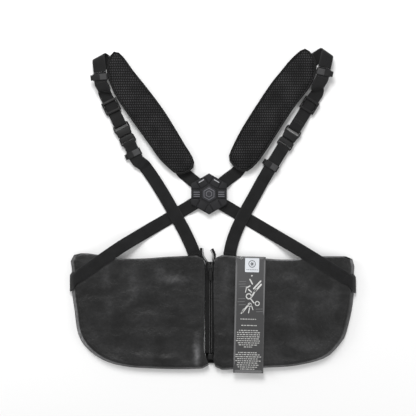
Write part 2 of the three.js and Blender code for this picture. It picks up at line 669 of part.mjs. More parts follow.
function buildBuckle(one) {
  const holder = placed(one.buckle, buckleHeading(one));
  const half = trackWidth + buckleCheek;
  const bottom = barLevel - buckleThick / 2;
  const top = bottom + buckleThick;
  const split = -3;
  const reach = buckleLength / 2;
  const socketOutline = smoothLine([
    vec(-half * 0.86, split), vec(-half * 0.9, 4), vec(-half, 9.5), vec(-half, reach - 3),
    vec(-half + 2, reach), vec(0, reach + 0.3), vec(half - 2, reach),
    vec(half, reach - 3), vec(half, 9.5), vec(half * 0.9, 4),
    vec(half * 0.86, split), vec(0, split - 0.2)], 40, true);
  const mouth = block(2 * half - 8, 2 * 12, bottom + shell, top - shell, 0, split + 4);
  const windows = [-1, 1].map((sign) => block(12, 8.5, bottom + shell, top - shell, sign * half, 4.6));
  const barRoom = barCuts(1, bottom, top, socketDaylight);
  const socket = cut(plate(socketOutline, bottom, top, edgeRound), [mouth, ...windows, ...barRoom]);
  addMesh(`${one.side}_buckle_socket`, socket, 'plastic', holder);

  const plugOutline = [
    vec(-half, -reach + 3), vec(-half + 2, -reach), vec(half - 2, -reach), vec(half, -reach + 3),
    vec(half * 0.95, split - 4.5), vec(half * 0.8, split - gap - 0.8), vec(-half * 0.8, split - gap - 0.8),
    vec(-half * 0.95, split - 4.5)];
  const tongue = block(3.2, 16, bottom + shell + gap, top - shell - gap, 0, split + 5);
  const plugBody = unite([plate(plugOutline, bottom, top, edgeRound), tongue]);
  const plug = cut(plugBody, barCuts(-1, bottom, top, plugDaylight));
  addMesh(`${one.side}_buckle_plug`, plug, 'plastic', holder);

  const thick = [bottom + shell + gap, top - shell - gap];
  for (const [label, sign] of [['inner', -one.sign], ['outer', one.sign]]) {
    const arm = [vec(5.2, split - 0.3), vec(8, split - 0.3), vec(8.6, 1.4), vec(armSpan + 3.6, 1.8),
      vec(armSpan + 3.8, 6.6), vec(8.6, 7.6), vec(6.4, 5)];
    const outline = arm.map((p) => vec(p.x * sign, p.y));
    addMesh(`${one.side}_buckle_${label}_arm`, plate(outline, thick[0], thick[1]), 'plastic', holder);
  }
}

// ---- Zip -------------------------------------------------------------------
const zipOpen = -141;            // where the two chains part
const zipFoot = pouchTop - pouchHeight + 32;
const chainGap = 1.8;            // leaves room for the slider's post
const sliderAt = -148;
const tipLift = 5;               // the open ends of the chains curl up a little
const bendLift = 3.5;
const boxLength = 11;
const boxThick = 4.8;

function buildZip() {
  const middle = zipCentreX + 2.5;
  for (const [side, sign, tip] of [['left', -1, vec(-12, -107)], ['right', 1, vec(2.6, -110.6)]]) {
    const offset = sign * (chainGap / 2 + (teethWidth - chainGap) / 4);
    const halfTeeth = (teethWidth - chainGap) / 2;
    const straight = middle + offset;
    const bend = vec(straight + sign * (side === 'left' ? 11.4 : 3), -124);
    const at = (x, y) => vec(x, y, zipLevel);
    const route = [
      tip.clone().setZ(zipLevel + tipLift), bend.clone().setZ(zipLevel + bendLift),
      at(straight + sign * 0.6, zipOpen + 2), at(straight, zipOpen - 10),
      at(straight, (zipOpen + zipFoot) / 2), at(straight, zipFoot + 1)];
    const chain = stationsAlong(route, 30, halfTeeth);
    addMesh(`zip_${side}_teeth`, closedOut(band(chain, teethThick)), 'tape');
    const wall = innerEdge(pouches[side === 'left' ? 0 : 1]) - sign * 3 * gap;
    const tape = chain.map(({ left, right, normal }) => {
      const edge = sign > 0 ? left : right;
      const outward = left.clone().sub(right).normalize().multiplyScalar(sign > 0 ? 1 : -1);
      const near = edge.clone().addScaledVector(outward, gap);
      const room = near.y > pouchTop ? 5 : Math.max(2.2, Math.abs(wall - near.x));
      const far = near.clone().addScaledVector(outward, room);
      return sign > 0 ? { left: far, right: near, normal } : { left: near, right: far, normal };
    });
    addMesh(`zip_${side}_tape`, closedOut(band(tape, tapeThick)), 'tape');
  }
  buildSlider(middle);
  const foot = block(9.5, boxLength, zipLevel - boxThick / 2, zipLevel + boxThick / 2, middle, zipFoot - 6);
  addMesh('zip_retainer_box', foot, 'metal');
}

const plateGap = teethThick / 2 + gap + 0.1;
const sliderPlate = 1.2;
const crownRadius = 1;

const tailShare = 0.62;          // the slider's lower end, as a share of its width
const earThick = 1.2;
const earApart = 5.2;            // between the middles of the two ears
const pullAt = sliderAt + 1;     // where the pull is hinged

function buildSlider(x) {
  const half = sliderWidth / 2;
  const head = sliderAt + sliderLength / 2;
  const foot = sliderAt - sliderLength / 2;
  const outline = smoothLine([
    vec(x - half, sliderAt + 4), vec(x - half + 2.4, head), vec(x, head - 1.4),
    vec(x + half - 2.4, head), vec(x + half, sliderAt + 4),
    vec(x + half * tailShare, foot), vec(x - half * tailShare, foot)], 28, true);
  const low = plate(outline, zipLevel - plateGap - sliderPlate, zipLevel - plateGap);
  const high = plate(outline, zipLevel + plateGap, zipLevel + plateGap + sliderPlate);
  const reach = plateGap + sliderPlate / 2;
  const post = block(chainGap - 2 * gap, 3.5, zipLevel - reach, zipLevel + reach, x, sliderAt + 3.6);
  const crownTop = zipLevel + plateGap + sliderPlate;
  const ear = (sign) => block(earThick, 3.4, crownTop - 0.4, crownTop + 3.2, x + sign * earApart / 2, pullAt);
  const ears = [-1, 1].map(ear);
  addMesh('zip_slider', unite([low, high, post, ...ears]), 'metal');
  const pivot = crownTop + gap + crownRadius;
  const eye = new THREE.CylinderGeometry(crownRadius, crownRadius, earApart - earThick - 2 * gap, 12);
  eye.rotateZ(Math.PI / 2);
  eye.translate(x, pullAt, pivot);
  const tab = block(3, 8, pivot - 0.8, pivot + 0.6, x, pullAt - 4.4);
  const grip = block(5.6, 17, pivot - 0.8, pivot + 0.8, x, pullAt - 16.4);
  addMesh('zip_pull', unite([eye, tab, grip]), 'metal');
}

// ---- Hang tag --------------------------------------------------------------
const eyeletHole = 1.6;
const eyeletRim = 2.8;

function buildTag() {
  const level = frontTop + gap;
  const holder = new THREE.Group();
  holder.position.set(83, pouchTop + 0.5, level);
  holder.rotation.z = THREE.MathUtils.degToRad(-1.3);
  group.add(holder);
  const eyelet = vec(-19, -3.4);
  const strip = block(tagWidth, tagLength, 0, tagThick, 0, -tagLength / 2);
  addMesh('tag_strip', cut(strip, [rod(eyeletHole, -1, 2, eyelet)]), 'tag', holder);
  const onStrip = tagThick + gap;
  const label = block(tagLabel, tagLabel, onStrip, onStrip + tagThick, 3, -3 - tagLabel / 2);
  addMesh('tag_label', label, 'label', holder);
  const rim = cut(rod(eyeletRim, onStrip, onStrip + tagThick, eyelet), [rod(eyeletHole, -1, 3, eyelet)]);
  addMesh('tag_eyelet', rim, 'metal', holder);
}

buildHub();
pouches.forEach(buildPouch);
pads.forEach(buildPad);
for (const one of sides) {
  const heading = buckleHeading(one);
  const below = one.keeper.clone().sub(one.buckle).normalize();
  buildBackStrap(one);
  buildShoulderStrap(one);
  buildUpperStrap(one);
  buildLowerStrap(one);
  const route = new THREE.CatmullRomCurve3(upperRoute(one), false, 'centripetal');
  const share = (lapClear + keeperLength / 2) / route.getLength();
  const onStrap = route.getPointAt(share);
  const along = route.getTangentAt(share).negate();
  buildKeeper(`${one.side}_upper_keeper`, onStrap, along, foldTop, foldTop, one.sign);
  buildKeeper(`${one.side}_lower_keeper`, one.keeper, below, loopLow, loopTop, lowerTabSide);
  buildAdjuster(one);
  buildBuckle(one);
}
buildZip();
buildTag();

export default group;
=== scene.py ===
# %% [markdown]
# # Safety harness vest, laid flat
# The vest lies face up: two zipped pouches, padded shoulder straps, a hub where the
# straps cross, side-release buckles, three-bar adjusters, keepers and a hang tag.
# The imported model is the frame. Every soft piece here is made again over its plain
# solid, and the moulded pieces keep their shape and get finer edges and finishes.

# %% Load the frame
import math
import random
from itertools import permutations

import bmesh
import bpy
import numpy as np
from mathutils import Matrix, Vector, noise
from mathutils.geometry import delaunay_2d_cdt


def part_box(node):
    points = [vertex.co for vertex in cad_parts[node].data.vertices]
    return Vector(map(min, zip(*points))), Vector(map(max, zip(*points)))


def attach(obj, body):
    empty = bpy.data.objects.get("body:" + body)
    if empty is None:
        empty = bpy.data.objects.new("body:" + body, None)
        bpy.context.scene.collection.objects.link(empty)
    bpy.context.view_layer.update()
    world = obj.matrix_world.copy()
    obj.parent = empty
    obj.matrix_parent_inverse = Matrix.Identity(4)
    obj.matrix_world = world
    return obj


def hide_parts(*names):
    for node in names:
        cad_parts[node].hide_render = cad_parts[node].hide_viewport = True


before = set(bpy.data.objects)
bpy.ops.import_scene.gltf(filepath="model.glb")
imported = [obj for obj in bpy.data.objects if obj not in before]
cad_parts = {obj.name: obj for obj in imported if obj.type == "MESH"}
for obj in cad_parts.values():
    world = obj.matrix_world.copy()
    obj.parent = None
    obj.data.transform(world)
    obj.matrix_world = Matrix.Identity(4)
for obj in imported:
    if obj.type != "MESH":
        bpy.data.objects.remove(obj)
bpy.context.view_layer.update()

MM = 0.001
SIDES = ("left", "right")
UP = Vector((0, 0, 1))
random.seed(7)

# %% [markdown]
# The camera looks straight down on the vest with a long lens, so that nothing leans.
# A wide soft light from above and two weaker ones from the sides give gentle sheen
# on webbing and moulded plastic without hard shadows.

# %% Camera
LENS = 100.0
SENSOR = 36.0
VIEW_SPAN = 0.832
AIM = Vector((-0.002, -0.028, 0.0))
camera_data = bpy.data.cameras.new("camera")
camera_data.lens = LENS
camera_data.sensor_width = SENSOR
camera = bpy.data.objects.new("camera", camera_data)
camera.location = AIM + Vector((0, 0, VIEW_SPAN * LENS / SENSOR))
bpy.context.collection.objects.link(camera)
bpy.context.scene.camera = camera
print("camera height", round(camera.location.z, 3), "m")

# %% Lights and floor
def area_light(name, place, size, power):
    data = bpy.data.lights.new(name, "AREA")
    data.size = size
    data.energy = power
    light = bpy.data.objects.new(name, data)
    light.location = place
    light.rotation_euler = (AIM - Vector(place)).to_track_quat("-Z", "Y").to_euler()
    bpy.context.collection.objects.link(light)


area_light("top_light", (-0.25, 1.5, 1.6), 0.9, 42)
area_light("left_light", (-1.7, 0.5, 0.9), 0.8, 14)
area_light("right_light", (1.6, -0.6, 1.0), 0.9, 9)
world = bpy.data.worlds.new("studio")
world.use_nodes = True
world.node_tree.nodes["Background"].inputs["Color"].default_value = (1, 1, 1, 1)
world.node_tree.nodes["Background"].inputs["Strength"].default_value = 0.55
bpy.context.scene.world = world
bpy.context.scene.view_settings.view_transform = "Standard"


def mesh_object(name, points, faces, smooth=True):
    mesh = bpy.data.meshes.new(name)
    mesh.from_pydata([tuple(p) for p in points], [], faces)
    mesh.update()
    mesh.validate()
    if smooth:
        mesh.shade_smooth()
    piece = bpy.data.objects.new(name, mesh)
    bpy.context.collection.objects.link(piece)
    return piece


FLOOR = 3.0
floor = mesh_object("floor", [(-FLOOR, -FLOOR, -0.0006), (FLOOR, -FLOOR, -0.0006),
                              (FLOOR, FLOOR, -0.0006), (-FLOOR, FLOOR, -0.0006)], [(0, 1, 2, 3)])

# %% [markdown]
# Most pieces here are lofts: rings of points joined by four-sided faces and closed by
# end caps. These helpers join the rings, lay out UV maps, turn faces outward and hand
# each piece its finish, its body and the solids that it stands for.

# %% Mesh helpers
def ring_faces(rings, count, closed=False, first=0):
    """Faces between neighbouring rings of count points, numbered from first."""
    faces = []
    for ring in range(rings if closed else rings - 1):
        here, there = first + ring * count, first + (ring + 1) % rings * count
        for k in range(count):
            following = (k + 1) % count
            faces.append((here + k, here + following, there + following, there + k))
    return faces


def end_caps(rings, count, first=0):
    """One face over the first ring and one over the last."""
    last = first + (rings - 1) * count
    return [tuple(first + k for k in reversed(range(count))), tuple(last + k for k in range(count))]


def lay_uv(piece, uvs):
    """Gives a piece a UV map from one pair of values for each point."""
    layer = piece.data.uv_layers.new(name="UVMap")
    for corner in piece.data.loops:
        layer.data[corner.index].uv = uvs[corner.vertex_index]


def turned_out(piece):
    """Makes every face look outward."""
    whole = bmesh.new()
    whole.from_mesh(piece.data)
    bmesh.ops.recalc_face_normals(whole, faces=whole.faces)
    whole.to_mesh(piece.data)
    whole.free()


def sharp_edged(name, whole, angle):
    """An object from a bmesh, smooth except at edges over an angle in degrees."""
    mesh = bpy.data.meshes.new(name)
    whole.to_mesh(mesh)
    whole.free()
    mesh.shade_smooth()
    mesh.set_sharp_from_angle(angle=math.radians(angle))
    piece = bpy.data.objects.new(name, mesh)
    bpy.context.collection.objects.link(piece)
    return piece


def dress(piece, look, slot, *nodes, body="vest"):
    """Gives a piece its finish and body, and hides the frame's solids that it stands for."""
    piece.data.materials.clear()
    piece.data.materials.append(look)
    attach(piece, body)
    if nodes:
        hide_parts(*nodes)


def at_distance(where, run, values):
    """Values of three columns, read at a distance along a run."""
    return np.array([np.interp(where, run, values[:, k]) for k in range(3)])


def run_along(points):
    """The distance from the first point to each point of a line."""
    return np.concatenate([[0], np.cumsum(np.linalg.norm(np.diff(points, axis=0), axis=1))])


# %% [markdown]
# Each finish is a small node tree: a base colour broken up by noise, a bump from the
# weave, grain or moulding, and a roughness that changes with it. Weaves read a UV map
# in metres, along and across the cloth, so that the threads follow every bend.

# %% Node helpers
class Finish:
    """A material's node tree, with short calls for the nodes that these finishes share."""

    def __init__(self, name, color, roughness, metallic=0.0, sheen=0.0, coat=0.0, shine=0.3):
        self.material = bpy.data.materials.new(name)
        self.material.use_nodes = True
        self.tree = self.material.node_tree
        self.shader = self.tree.nodes["Principled BSDF"]
        self.shader.inputs["Base Color"].default_value = (*color, 1)
        self.shader.inputs["Roughness"].default_value = roughness
        self.shader.inputs["Metallic"].default_value = metallic
        self.shader.inputs["Sheen Weight"].default_value = sheen
        self.shader.inputs["Sheen Roughness"].default_value = 0.5
        self.shader.inputs["Coat Weight"].default_value = coat
        self.shader.inputs["Specular IOR Level"].default_value = shine
        self.bumps = None

    def node(self, kind, **inputs):
        made = self.tree.nodes.new(kind)
        for key, value in inputs.items():
            self.put(made.inputs[key.replace("_", " ")], value)
        return made

    def put(self, socket, value):
        if isinstance(value, bpy.types.NodeSocket):
            self.tree.links.new(value, socket)
        else:
            socket.default_value = value

    def math(self, operation, first, second=0.0, third=0.0):
        made = self.tree.nodes.new("ShaderNodeMath")
        made.operation = operation
        for socket, value in zip(made.inputs, (first, second, third)):
            self.put(socket, value)
        return made.outputs[0]

    def uv(self):
        split = self.node("ShaderNodeSeparateXYZ", Vector=self.node("ShaderNodeTexCoord").outputs["UV"])
        return split.outputs["X"], split.outputs["Y"]

    def place(self):
        return self.node("ShaderNodeTexCoord").outputs["Object"]

    def wave(self, along, pitch):
        """A smooth ridge pattern from 0 to 1 with one ridge each pitch."""
        turn = self.math("MULTIPLY", along, 2 * math.pi / pitch)
        return self.math("MULTIPLY_ADD", self.math("SINE", turn), 0.5, 0.5)

    def noise(self, scale, detail=3.0):
        made = self.node("ShaderNodeTexNoise", Vector=self.place(), Scale=scale, Detail=detail)
        return made.outputs["Fac"]

    def tint(self, factor, dark, light):
        mix = self.tree.nodes.new("ShaderNodeMix")
        mix.data_type = "RGBA"
        self.put(mix.inputs["Factor"], factor)
        mix.inputs["A"].default_value = (*dark, 1)
        mix.inputs["B"].default_value = (*light, 1)
        self.tree.links.new(mix.outputs["Result"], self.shader.inputs["Base Color"])
        return mix.outputs["Result"]

    def rough(self, factor, low, high):
        span = self.node("ShaderNodeMapRange", Value=factor, To_Min=low, To_Max=high)
        self.tree.links.new(span.outputs["Result"], self.shader.inputs["Roughness"])

    def bump(self, height, distance, strength=1.0):
        made = self.node("ShaderNodeBump", Height=height, Distance=distance, Strength=strength)
        if self.bumps is not None:
            self.tree.links.new(self.bumps, made.inputs["Normal"])
        self.bumps = made.outputs["Normal"]
        self.tree.links.new(self.bumps, self.shader.inputs["Normal"])


def gray(value, blue=1.0):
    return (value, value, value * blue)


# %% Woven finishes
def woven(name, dark, light, rib, thread, depth, edge_highlight_half_width=None):
    """Webbing or tape: ribs across the run, crossed by fine warp threads."""
    finish = Finish(name, gray(dark), 0.78, sheen=0.06, shine=0.16)
    along, across = finish.uv()
    folded = finish.math("PINGPONG", across, thread * 4)
    chevron = finish.math("ABSOLUTE", finish.math("SUBTRACT", folded, thread * 2))
    slanted = finish.math("ADD", along, chevron)
    ribs = finish.wave(slanted, rib)
    threads = finish.wave(across, thread)
    weave = finish.math("MULTIPLY", ribs, threads)
    cloudy = finish.noise(60, 4.0)
    faded = finish.math("MULTIPLY", finish.math("POWER", cloudy, 1.6), 0.7)
    tone = finish.math("MULTIPLY_ADD", weave, 0.65, faded)
    # Painted highlight: the webbing grows lighter towards its rounded edges.
    if edge_highlight_half_width:
        near = finish.math("DIVIDE", finish.math("ABSOLUTE", across), edge_highlight_half_width)
        tone = finish.math("MULTIPLY_ADD", finish.math("POWER", near, 14.0), 0.9, tone)
    finish.tint(tone, gray(dark), gray(light, 1.04))
    finish.rough(cloudy, 0.68, 0.9)
    finish.bump(weave, depth)
    finish.bump(finish.noise(2600, 2.0), depth * 0.2)
    return finish.material


webbing_look = woven("webbing_weave", 0.0015, 0.019, 0.0021, 0.0014, 0.00034, edge_highlight_half_width=0.0127)
elastic_look = woven("elastic_weave", 0.006, 0.030, 0.0011, 0.0014, 0.0003)
tape_look = woven("zip_tape_weave", 0.004, 0.016, 0.0012, 0.0008, 0.0002)
binding_look = woven("binding_weave", 0.002, 0.010, 0.0009, 0.0009, 0.0002)


# %% Moulded and metal finishes
def moulded(name, dark, light, blue, low, high):
    finish = Finish(name, gray(dark), low, shine=0.35)
    cloudy = finish.noise(45, 3.0)
    finish.tint(cloudy, gray(dark, blue), gray(light, blue))
    finish.rough(finish.noise(900, 2.0), low, high)
    finish.bump(finish.noise(4200, 2.0), 0.00003, 0.6)
    return finish.material


plastic_look = moulded("buckle_plastic", 0.0015, 0.005, 1.05, 0.34, 0.5)
hub_look = moulded("hub_plastic", 0.005, 0.015, 1.12, 0.28, 0.42)
emblem_look = moulded("emblem_plastic", 0.020, 0.036, 1.12, 0.24, 0.36)


def metal(name, dark, light, scale):
    finish = Finish(name, gray(dark), 0.35, metallic=1.0)
    finish.tint(finish.noise(scale, 5.0), gray(dark), gray(light))
    finish.rough(finish.noise(scale * 6, 2.0), 0.26, 0.5)
    finish.bump(finish.noise(3000, 2.0), 0.00002)
    return finish.material


slider_look = metal("slider_metal", 0.022, 0.05, 120)
steel_look = metal("screw_steel", 0.35, 0.5, 200)
print("finishes so far:", len(bpy.data.materials))


# %% [markdown]
# The remaining finishes are the coated pouch cloth with its fine pebbled grain, the
# spacer mesh of the pads with its rows of small holes, plain lining, foam, thread,
# and the film and print of the tag. The pebble comes from cells of a Voronoi texture,
# and the holes from two wave patterns multiplied, because both repeat without a seam.

# %% Pouch, lining and foam finishes
def coated_cloth(name, dark, light, low, high, painted_highlights=()):
    """Coated cloth with a random mottle and painted highlights. Painted highlights are (x, y, half width,
    half height, strength).
    """
    finish = Finish(name, gray(dark), low, shine=0.38)
    pebble = finish.node("ShaderNodeTexVoronoi", Vector=finish.place(), Scale=620.0)
    broad, fine_cloud = finish.noise(17, 4.0), finish.noise(150, 5.0)
    mottle = finish.math("MULTIPLY", finish.math("POWER", broad, 1.6), finish.math("ADD", fine_cloud, 0.35))
    lift = finish.node("ShaderNodeMapRange", Value=mottle, From_Min=0.14, From_Max=0.66)
    tone_factor = lift.outputs["Result"]
    spot = finish.node("ShaderNodeSeparateXYZ", Vector=finish.place()).outputs
    # Each entry paints a highlight: a soft lighter patch at x, y, broken up by fine noise.
    for x, y, wide, tall, strength in painted_highlights:
        across = finish.math("DIVIDE", finish.math("SUBTRACT", spot["X"], x), wide)
        upward = finish.math("DIVIDE", finish.math("SUBTRACT", spot["Y"], y), tall)
        spread = finish.math("MULTIPLY_ADD", across, across, finish.math("MULTIPLY", upward, upward))
        fading = finish.math("POWER", 2.718, finish.math("MULTIPLY", spread, -1.0))
        patch = finish.math("MULTIPLY", fading, fine_cloud)
        tone_factor = finish.math("MULTIPLY_ADD", patch, strength, tone_factor)
    finish.tint(tone_factor, gray(dark, 1.02), gray(light, 1.03)).node.clamp_factor = False
    finish.rough(finish.noise(60, 4.0), low, high)
    finish.bump(finish.noise(48, 6.0), 0.003, 0.7)
    finish.bump(finish.noise(230, 4.0), 0.0006, 0.6)
    finish.bump(pebble.outputs["Distance"], 0.0003, 0.9)
    return finish.material


# Painted highlights on the pouch fronts: the sheen of the coated cloth, painted into its colour.
SHELL_PAINTED_HIGHLIGHTS = [(-0.024, -0.318, 0.006, 0.022, 9.0), (-0.066, -0.17, 0.026, 0.008, 3.0),
              (-0.098, -0.155, 0.012, 0.016, 1.8), (-0.205, -0.165, 0.010, 0.020, 1.8), 
              (-0.15, -0.18, 0.008, 0.024, 1.4), (-0.2, -0.22, 0.010, 0.02, 1.2),
              (-0.12, -0.32, 0.012, 0.028, 0.8), (0.034, -0.17, 0.008, 0.03, 1.6),
              (0.16, -0.165, 0.02, 0.010, 1.6),
              (0.2, -0.3, 0.03, 0.014, 1.1), (0.25, -0.2, 0.010, 0.03, 1.2), (0.17, -0.24, 0.012, 0.03, 0.9)]
# Painted highlights on the side bands and mouth hems.
EDGE_PAINTED_HIGHLIGHTS = [(-0.235, -0.285, 0.045, 0.05, 1.6), (-0.272, -0.2, 0.02, 0.06, 0.8),
             (0.2, -0.131, 0.08, 0.008, 1.0)]
shell_look = coated_cloth("pouch_shell_cloth", 0.0020, 0.021, 0.34, 0.54, SHELL_PAINTED_HIGHLIGHTS)
# The edge cloth is the pouch cloth made several times lighter: painted highlight on the side bands and mouth
# hems.
edge_look = coated_cloth("pouch_edge_cloth", 0.014, 0.15, 0.42, 0.62, EDGE_PAINTED_HIGHLIGHTS)
lining_look = woven("lining_weave", 0.005, 0.014, 0.0012, 0.0009, 0.00012)


# %% Spacer mesh finish
def spacer_mesh(name, dark, light, row, column):
    """Knitted spacer mesh: oval holes in staggered rows between raised bars of yarn."""
    finish = Finish(name, gray(light), 0.8, sheen=0.04, shine=0.12)
    along, across = finish.uv()
    ridge = finish.wave(across, row)
    swing = finish.math("SINE", finish.math("MULTIPLY", across, math.pi / row))
    slip = finish.math("MULTIPLY", swing, column * 0.2)
    hole = finish.math("MULTIPLY", ridge, finish.wave(finish.math("ADD", along, slip), column))
    tone_factor = finish.node("ShaderNodeMapRange", Value=finish.noise(34, 2.0), From_Min=0.35, From_Max=0.65,
                       To_Min=0.45)
    shown = finish.math("MULTIPLY", finish.math("POWER", hole, 0.7), tone_factor.outputs["Result"])
    finish.tint(shown, gray(dark), gray(light, 1.03))
    finish.rough(finish.noise(300, 3.0), 0.7, 0.95)
    finish.bump(hole, 0.0009)
    finish.bump(finish.noise(1900, 2.0), 0.0001)
    return finish.material


mesh_look = spacer_mesh("spacer_mesh_knit", 0.001, 0.044, 0.0051, 0.0046)


# %% Thread, film and print finishes
def plain_finish(name, color, roughness, scale, depth, **extra):
    finish = Finish(name, color, roughness, **extra)
    cloud = finish.noise(scale, 3.0)
    finish.tint(cloud, tuple(c * 0.86 for c in color), tuple(min(1.0, c * 1.12) for c in color))
    finish.rough(cloud, roughness * 0.85, min(1.0, roughness * 1.15))
    finish.bump(finish.noise(scale * 9, 2.0), depth)
    return finish.material


def end_lit_film(name, middle, ends):
    """A clear grey film, lighter towards its upper end: a painted highlight."""
    finish = Finish(name, middle, 0.34)
    height = finish.node("ShaderNodeSeparateXYZ", Vector=finish.place()).outputs["Y"]
    upper = finish.node("ShaderNodeMapRange", Value=height, From_Min=-0.215, From_Max=-0.14)
    finish.tint(finish.math("MULTIPLY", upper.outputs["Result"], finish.noise(30, 3.0)), middle, ends)
    finish.rough(finish.noise(14, 3.0), 0.29, 0.4)
    finish.bump(finish.noise(126, 2.0), 0.00004)
    return finish.material


thread_look = plain_finish("sewing_thread", gray(0.022), 0.6, 500, 0.00008, sheen=0.1)
border_look = plain_finish("tag_border_film", (0.13, 0.13, 0.132), 0.36, 14, 0.00004)
film_look = end_lit_film("tag_film", (0.058, 0.058, 0.059), (0.105, 0.105, 0.107))
film_look.node_tree.nodes["Principled BSDF"].inputs["Alpha"].default_value = 0.9
label_look = plain_finish("tag_label_paper", (0.56, 0.58, 0.61), 0.55, 60, 0.00003)
print_look = plain_finish("tag_print", (0.52, 0.52, 0.51), 0.5, 80, 0.00002)
faint_look = plain_finish("tag_print_faint", (0.42, 0.42, 0.41), 0.5, 80, 0.00002)
ink_look = plain_finish("label_ink", (0.05, 0.055, 0.065), 0.5, 80, 0.00002)
patch_look = woven("keeper_patch_weave", 0.030, 0.075, 0.0011, 0.0011, 0.0002)
print("finishes:", len(bpy.data.materials))

# %% [markdown]
# Webbing is woven flat with rounded selvedges, so it is lofted rather than simulated.
# The frame's own straps are plain bands of four-cornered rings. Each ring is found by
# walking the mesh away from an end cap, then the rings are resampled on a smooth curve
# and given a rounded section and a UV map in metres, along and across the webbing.

# %% Rings of a strap
def merged(node):
    """A node's mesh with its split corners joined again."""
    whole = bmesh.new()
    whole.from_mesh(bpy.data.objects[node].data)
    bmesh.ops.remove_doubles(whole, verts=whole.verts, dist=0.02 * MM)
    whole.verts.ensure_lookup_table()
    return whole


def walk_rings(start, total):
    rings = [list(start)]
    seen = set(start)
    while True:
        following = {edge.other_vert(v) for v in rings[-1] for edge in v.link_edges} - seen
        if not following:
            return rings if 4 * len(rings) == total else None
        if len(following) != 4:
            return None
        rings.append(list(following))
        seen |= following


def apart(ring, other):
    """How far the corners of two rings lie from each other, taken in order."""
    return sum((a - b).length_squared for a, b in zip(ring, other))


def rings_of(node):
    """A strap's rings of four corners, each in the order of the ring before it."""
    whole = merged(node)
    rings = None
    for edge in whole.edges:
        corners = {v for face in edge.link_faces for v in face.verts}
        if len(corners) == 4:
            rings = walk_rings(corners, len(whole.verts))
        if rings:
            break
    spots = [[v.co.copy() for v in ring] for ring in rings]
    whole.free()
    first = spots[0][0]
    mates = sorted(spots[0][1:], key=lambda p: (p - first).length)
    far = sorted(mates[1:], key=lambda p: (p - first).length)
    ordered = [[first, mates[0], far[0], far[1]]]
    for ring in spots[1:]:
        ordered.append(list(min(permutations(ring), key=lambda order: apart(order, ordered[-1]))))
    return np.array([[tuple(p) for p in ring] for ring in ordered])


# %% Webbing from rings
LOWEST = 0.05 * MM
FACE_SHARES = (-0.5, -0.3, -0.1, 0.1, 0.3, 0.5)


def resampled(values, run, spots):
    """Values at new distances along a run, on a smooth curve through the old ones."""
    slope = np.gradient(values, run, axis=0)
    at = np.clip(np.searchsorted(run, spots) - 1, 0, len(run) - 2)
    step = (run[at + 1] - run[at])[:, None]
    t = (spots - run[at])[:, None] / step
    low, high = values[at], values[at + 1]
    return (low * (1 + 2 * t) * (1 - t) ** 2 + slope[at] * step * t * (1 - t) ** 2
            + high * t ** 2 * (3 - 2 * t) - slope[at + 1] * step * t ** 2 * (1 - t))


def webbing(name, node, look, slot, pitch=2.0):
    """A strap or tape over the node's rings. Returns its smooth rings."""
    rings = rings_of(node)
    left, right = rings[:, :2].mean(axis=1), rings[:, 2:].mean(axis=1)
    up = (rings[:, 0] - rings[:, 1] + rings[:, 2] - rings[:, 3]) / 2
    middle = (left + right) / 2
    run = run_along(middle)
    spots = np.linspace(0, run[-1], max(3, round(run[-1] / (pitch * MM))))
    left, right, up = (resampled(values, run, spots) for values in (left, right, up))
    across = right - left
    width = np.linalg.norm(across, axis=1, keepdims=True)
    thick = np.linalg.norm(rings[0, 0] - rings[0, 1])
    up /= np.linalg.norm(up, axis=1, keepdims=True)
    middle = (left + right) / 2
    half = 0.5 * thick
    face = [(share * 0.955, half * (1.0 if abs(share) < 0.4 else 0.82)) for share in FACE_SHARES]
    under = [(share, -height) for share, height in reversed(face)]
    lip = half * 0.3
    section = face + [(0.5, lip), (0.5, -lip)] + under + [(-0.5, -lip), (-0.5, lip)]
    count = len(section)
    points, uvs = [], []
    for i, spot in enumerate(spots):
        for share, height in section:
            x, y, z = middle[i] + across[i] * share + up[i] * height
            points.append((x, y, max(z, LOWEST)))
            uvs.append((spot, share * width[i, 0]))
    faces = ring_faces(len(spots), count) + end_caps(len(spots), count)
    piece = mesh_object(name, points, faces)
    lay_uv(piece, uvs)
    turned_out(piece)
    dress(piece, look, slot, node)
    print(name, round(run[-1] * 1000), "mm long,", len(spots), "rings")
    return {"middle": middle, "across": across, "up": up, "run": spots, "half": half}


straps = {}
for side in SIDES:
    for part in ("back_strap", "shoulder_strap", "front_strap_upper", "front_strap_lower"):
        straps[side, part] = webbing(f"{side}_{part}_webbing", f"{side}_{part}", webbing_look, "webbing")


# %% [markdown]
# Panels are cut cloth: an outline with a soft surface inside it. The outline comes from
# the frame's flat solid. A Delaunay fill puts an even grid of points inside it, so the
# surface can rise, sag and pucker anywhere without following rows of a lofted grid.

# %% Outlines
def outline_of(node, up=True):
    """The points round a flat solid's top or bottom, counter-clockwise, as an array."""
    whole = merged(node)
    whole.normal_update()
    heights = [v.co.z for v in whole.verts]
    level, sign = (max(heights), 1) if up else (min(heights), -1)
    flat = {face for face in whole.faces
            if face.normal.z * sign > 0.9 and abs(face.calc_center_median().z - level) < 0.05 * MM}
    links = {}
    for edge in whole.edges:
        if sum(face in flat for face in edge.link_faces) == 1:
            for here, there in permutations(edge.verts, 2):
                links.setdefault(here, []).append(there)
    start = next(iter(links))
    loop = [start, links[start][0]]
    while len(loop) < len(links):
        ahead = [v for v in links[loop[-1]] if v is not loop[-2]]
        loop.append(ahead[0])
    points = np.array([v.co.xy for v in loop])
    whole.free()
    return points if area_of(points) > 0 else points[::-1]


def area_of(points):
    after = np.roll(points, -1, axis=0)
    return 0.5 * float(np.sum(points[:, 0] * after[:, 1] - points[:, 1] * after[:, 0]))


def even_loop(points, pitch):
    """The same closed line with points a pitch apart, or less."""
    spaced = []
    for here, there in zip(points, np.roll(points, -1, axis=0)):
        parts = max(1, math.ceil(np.linalg.norm(there - here) / pitch))
        spaced += [here + (there - here) * k / parts for k in range(parts)]
    return np.array(spaced)


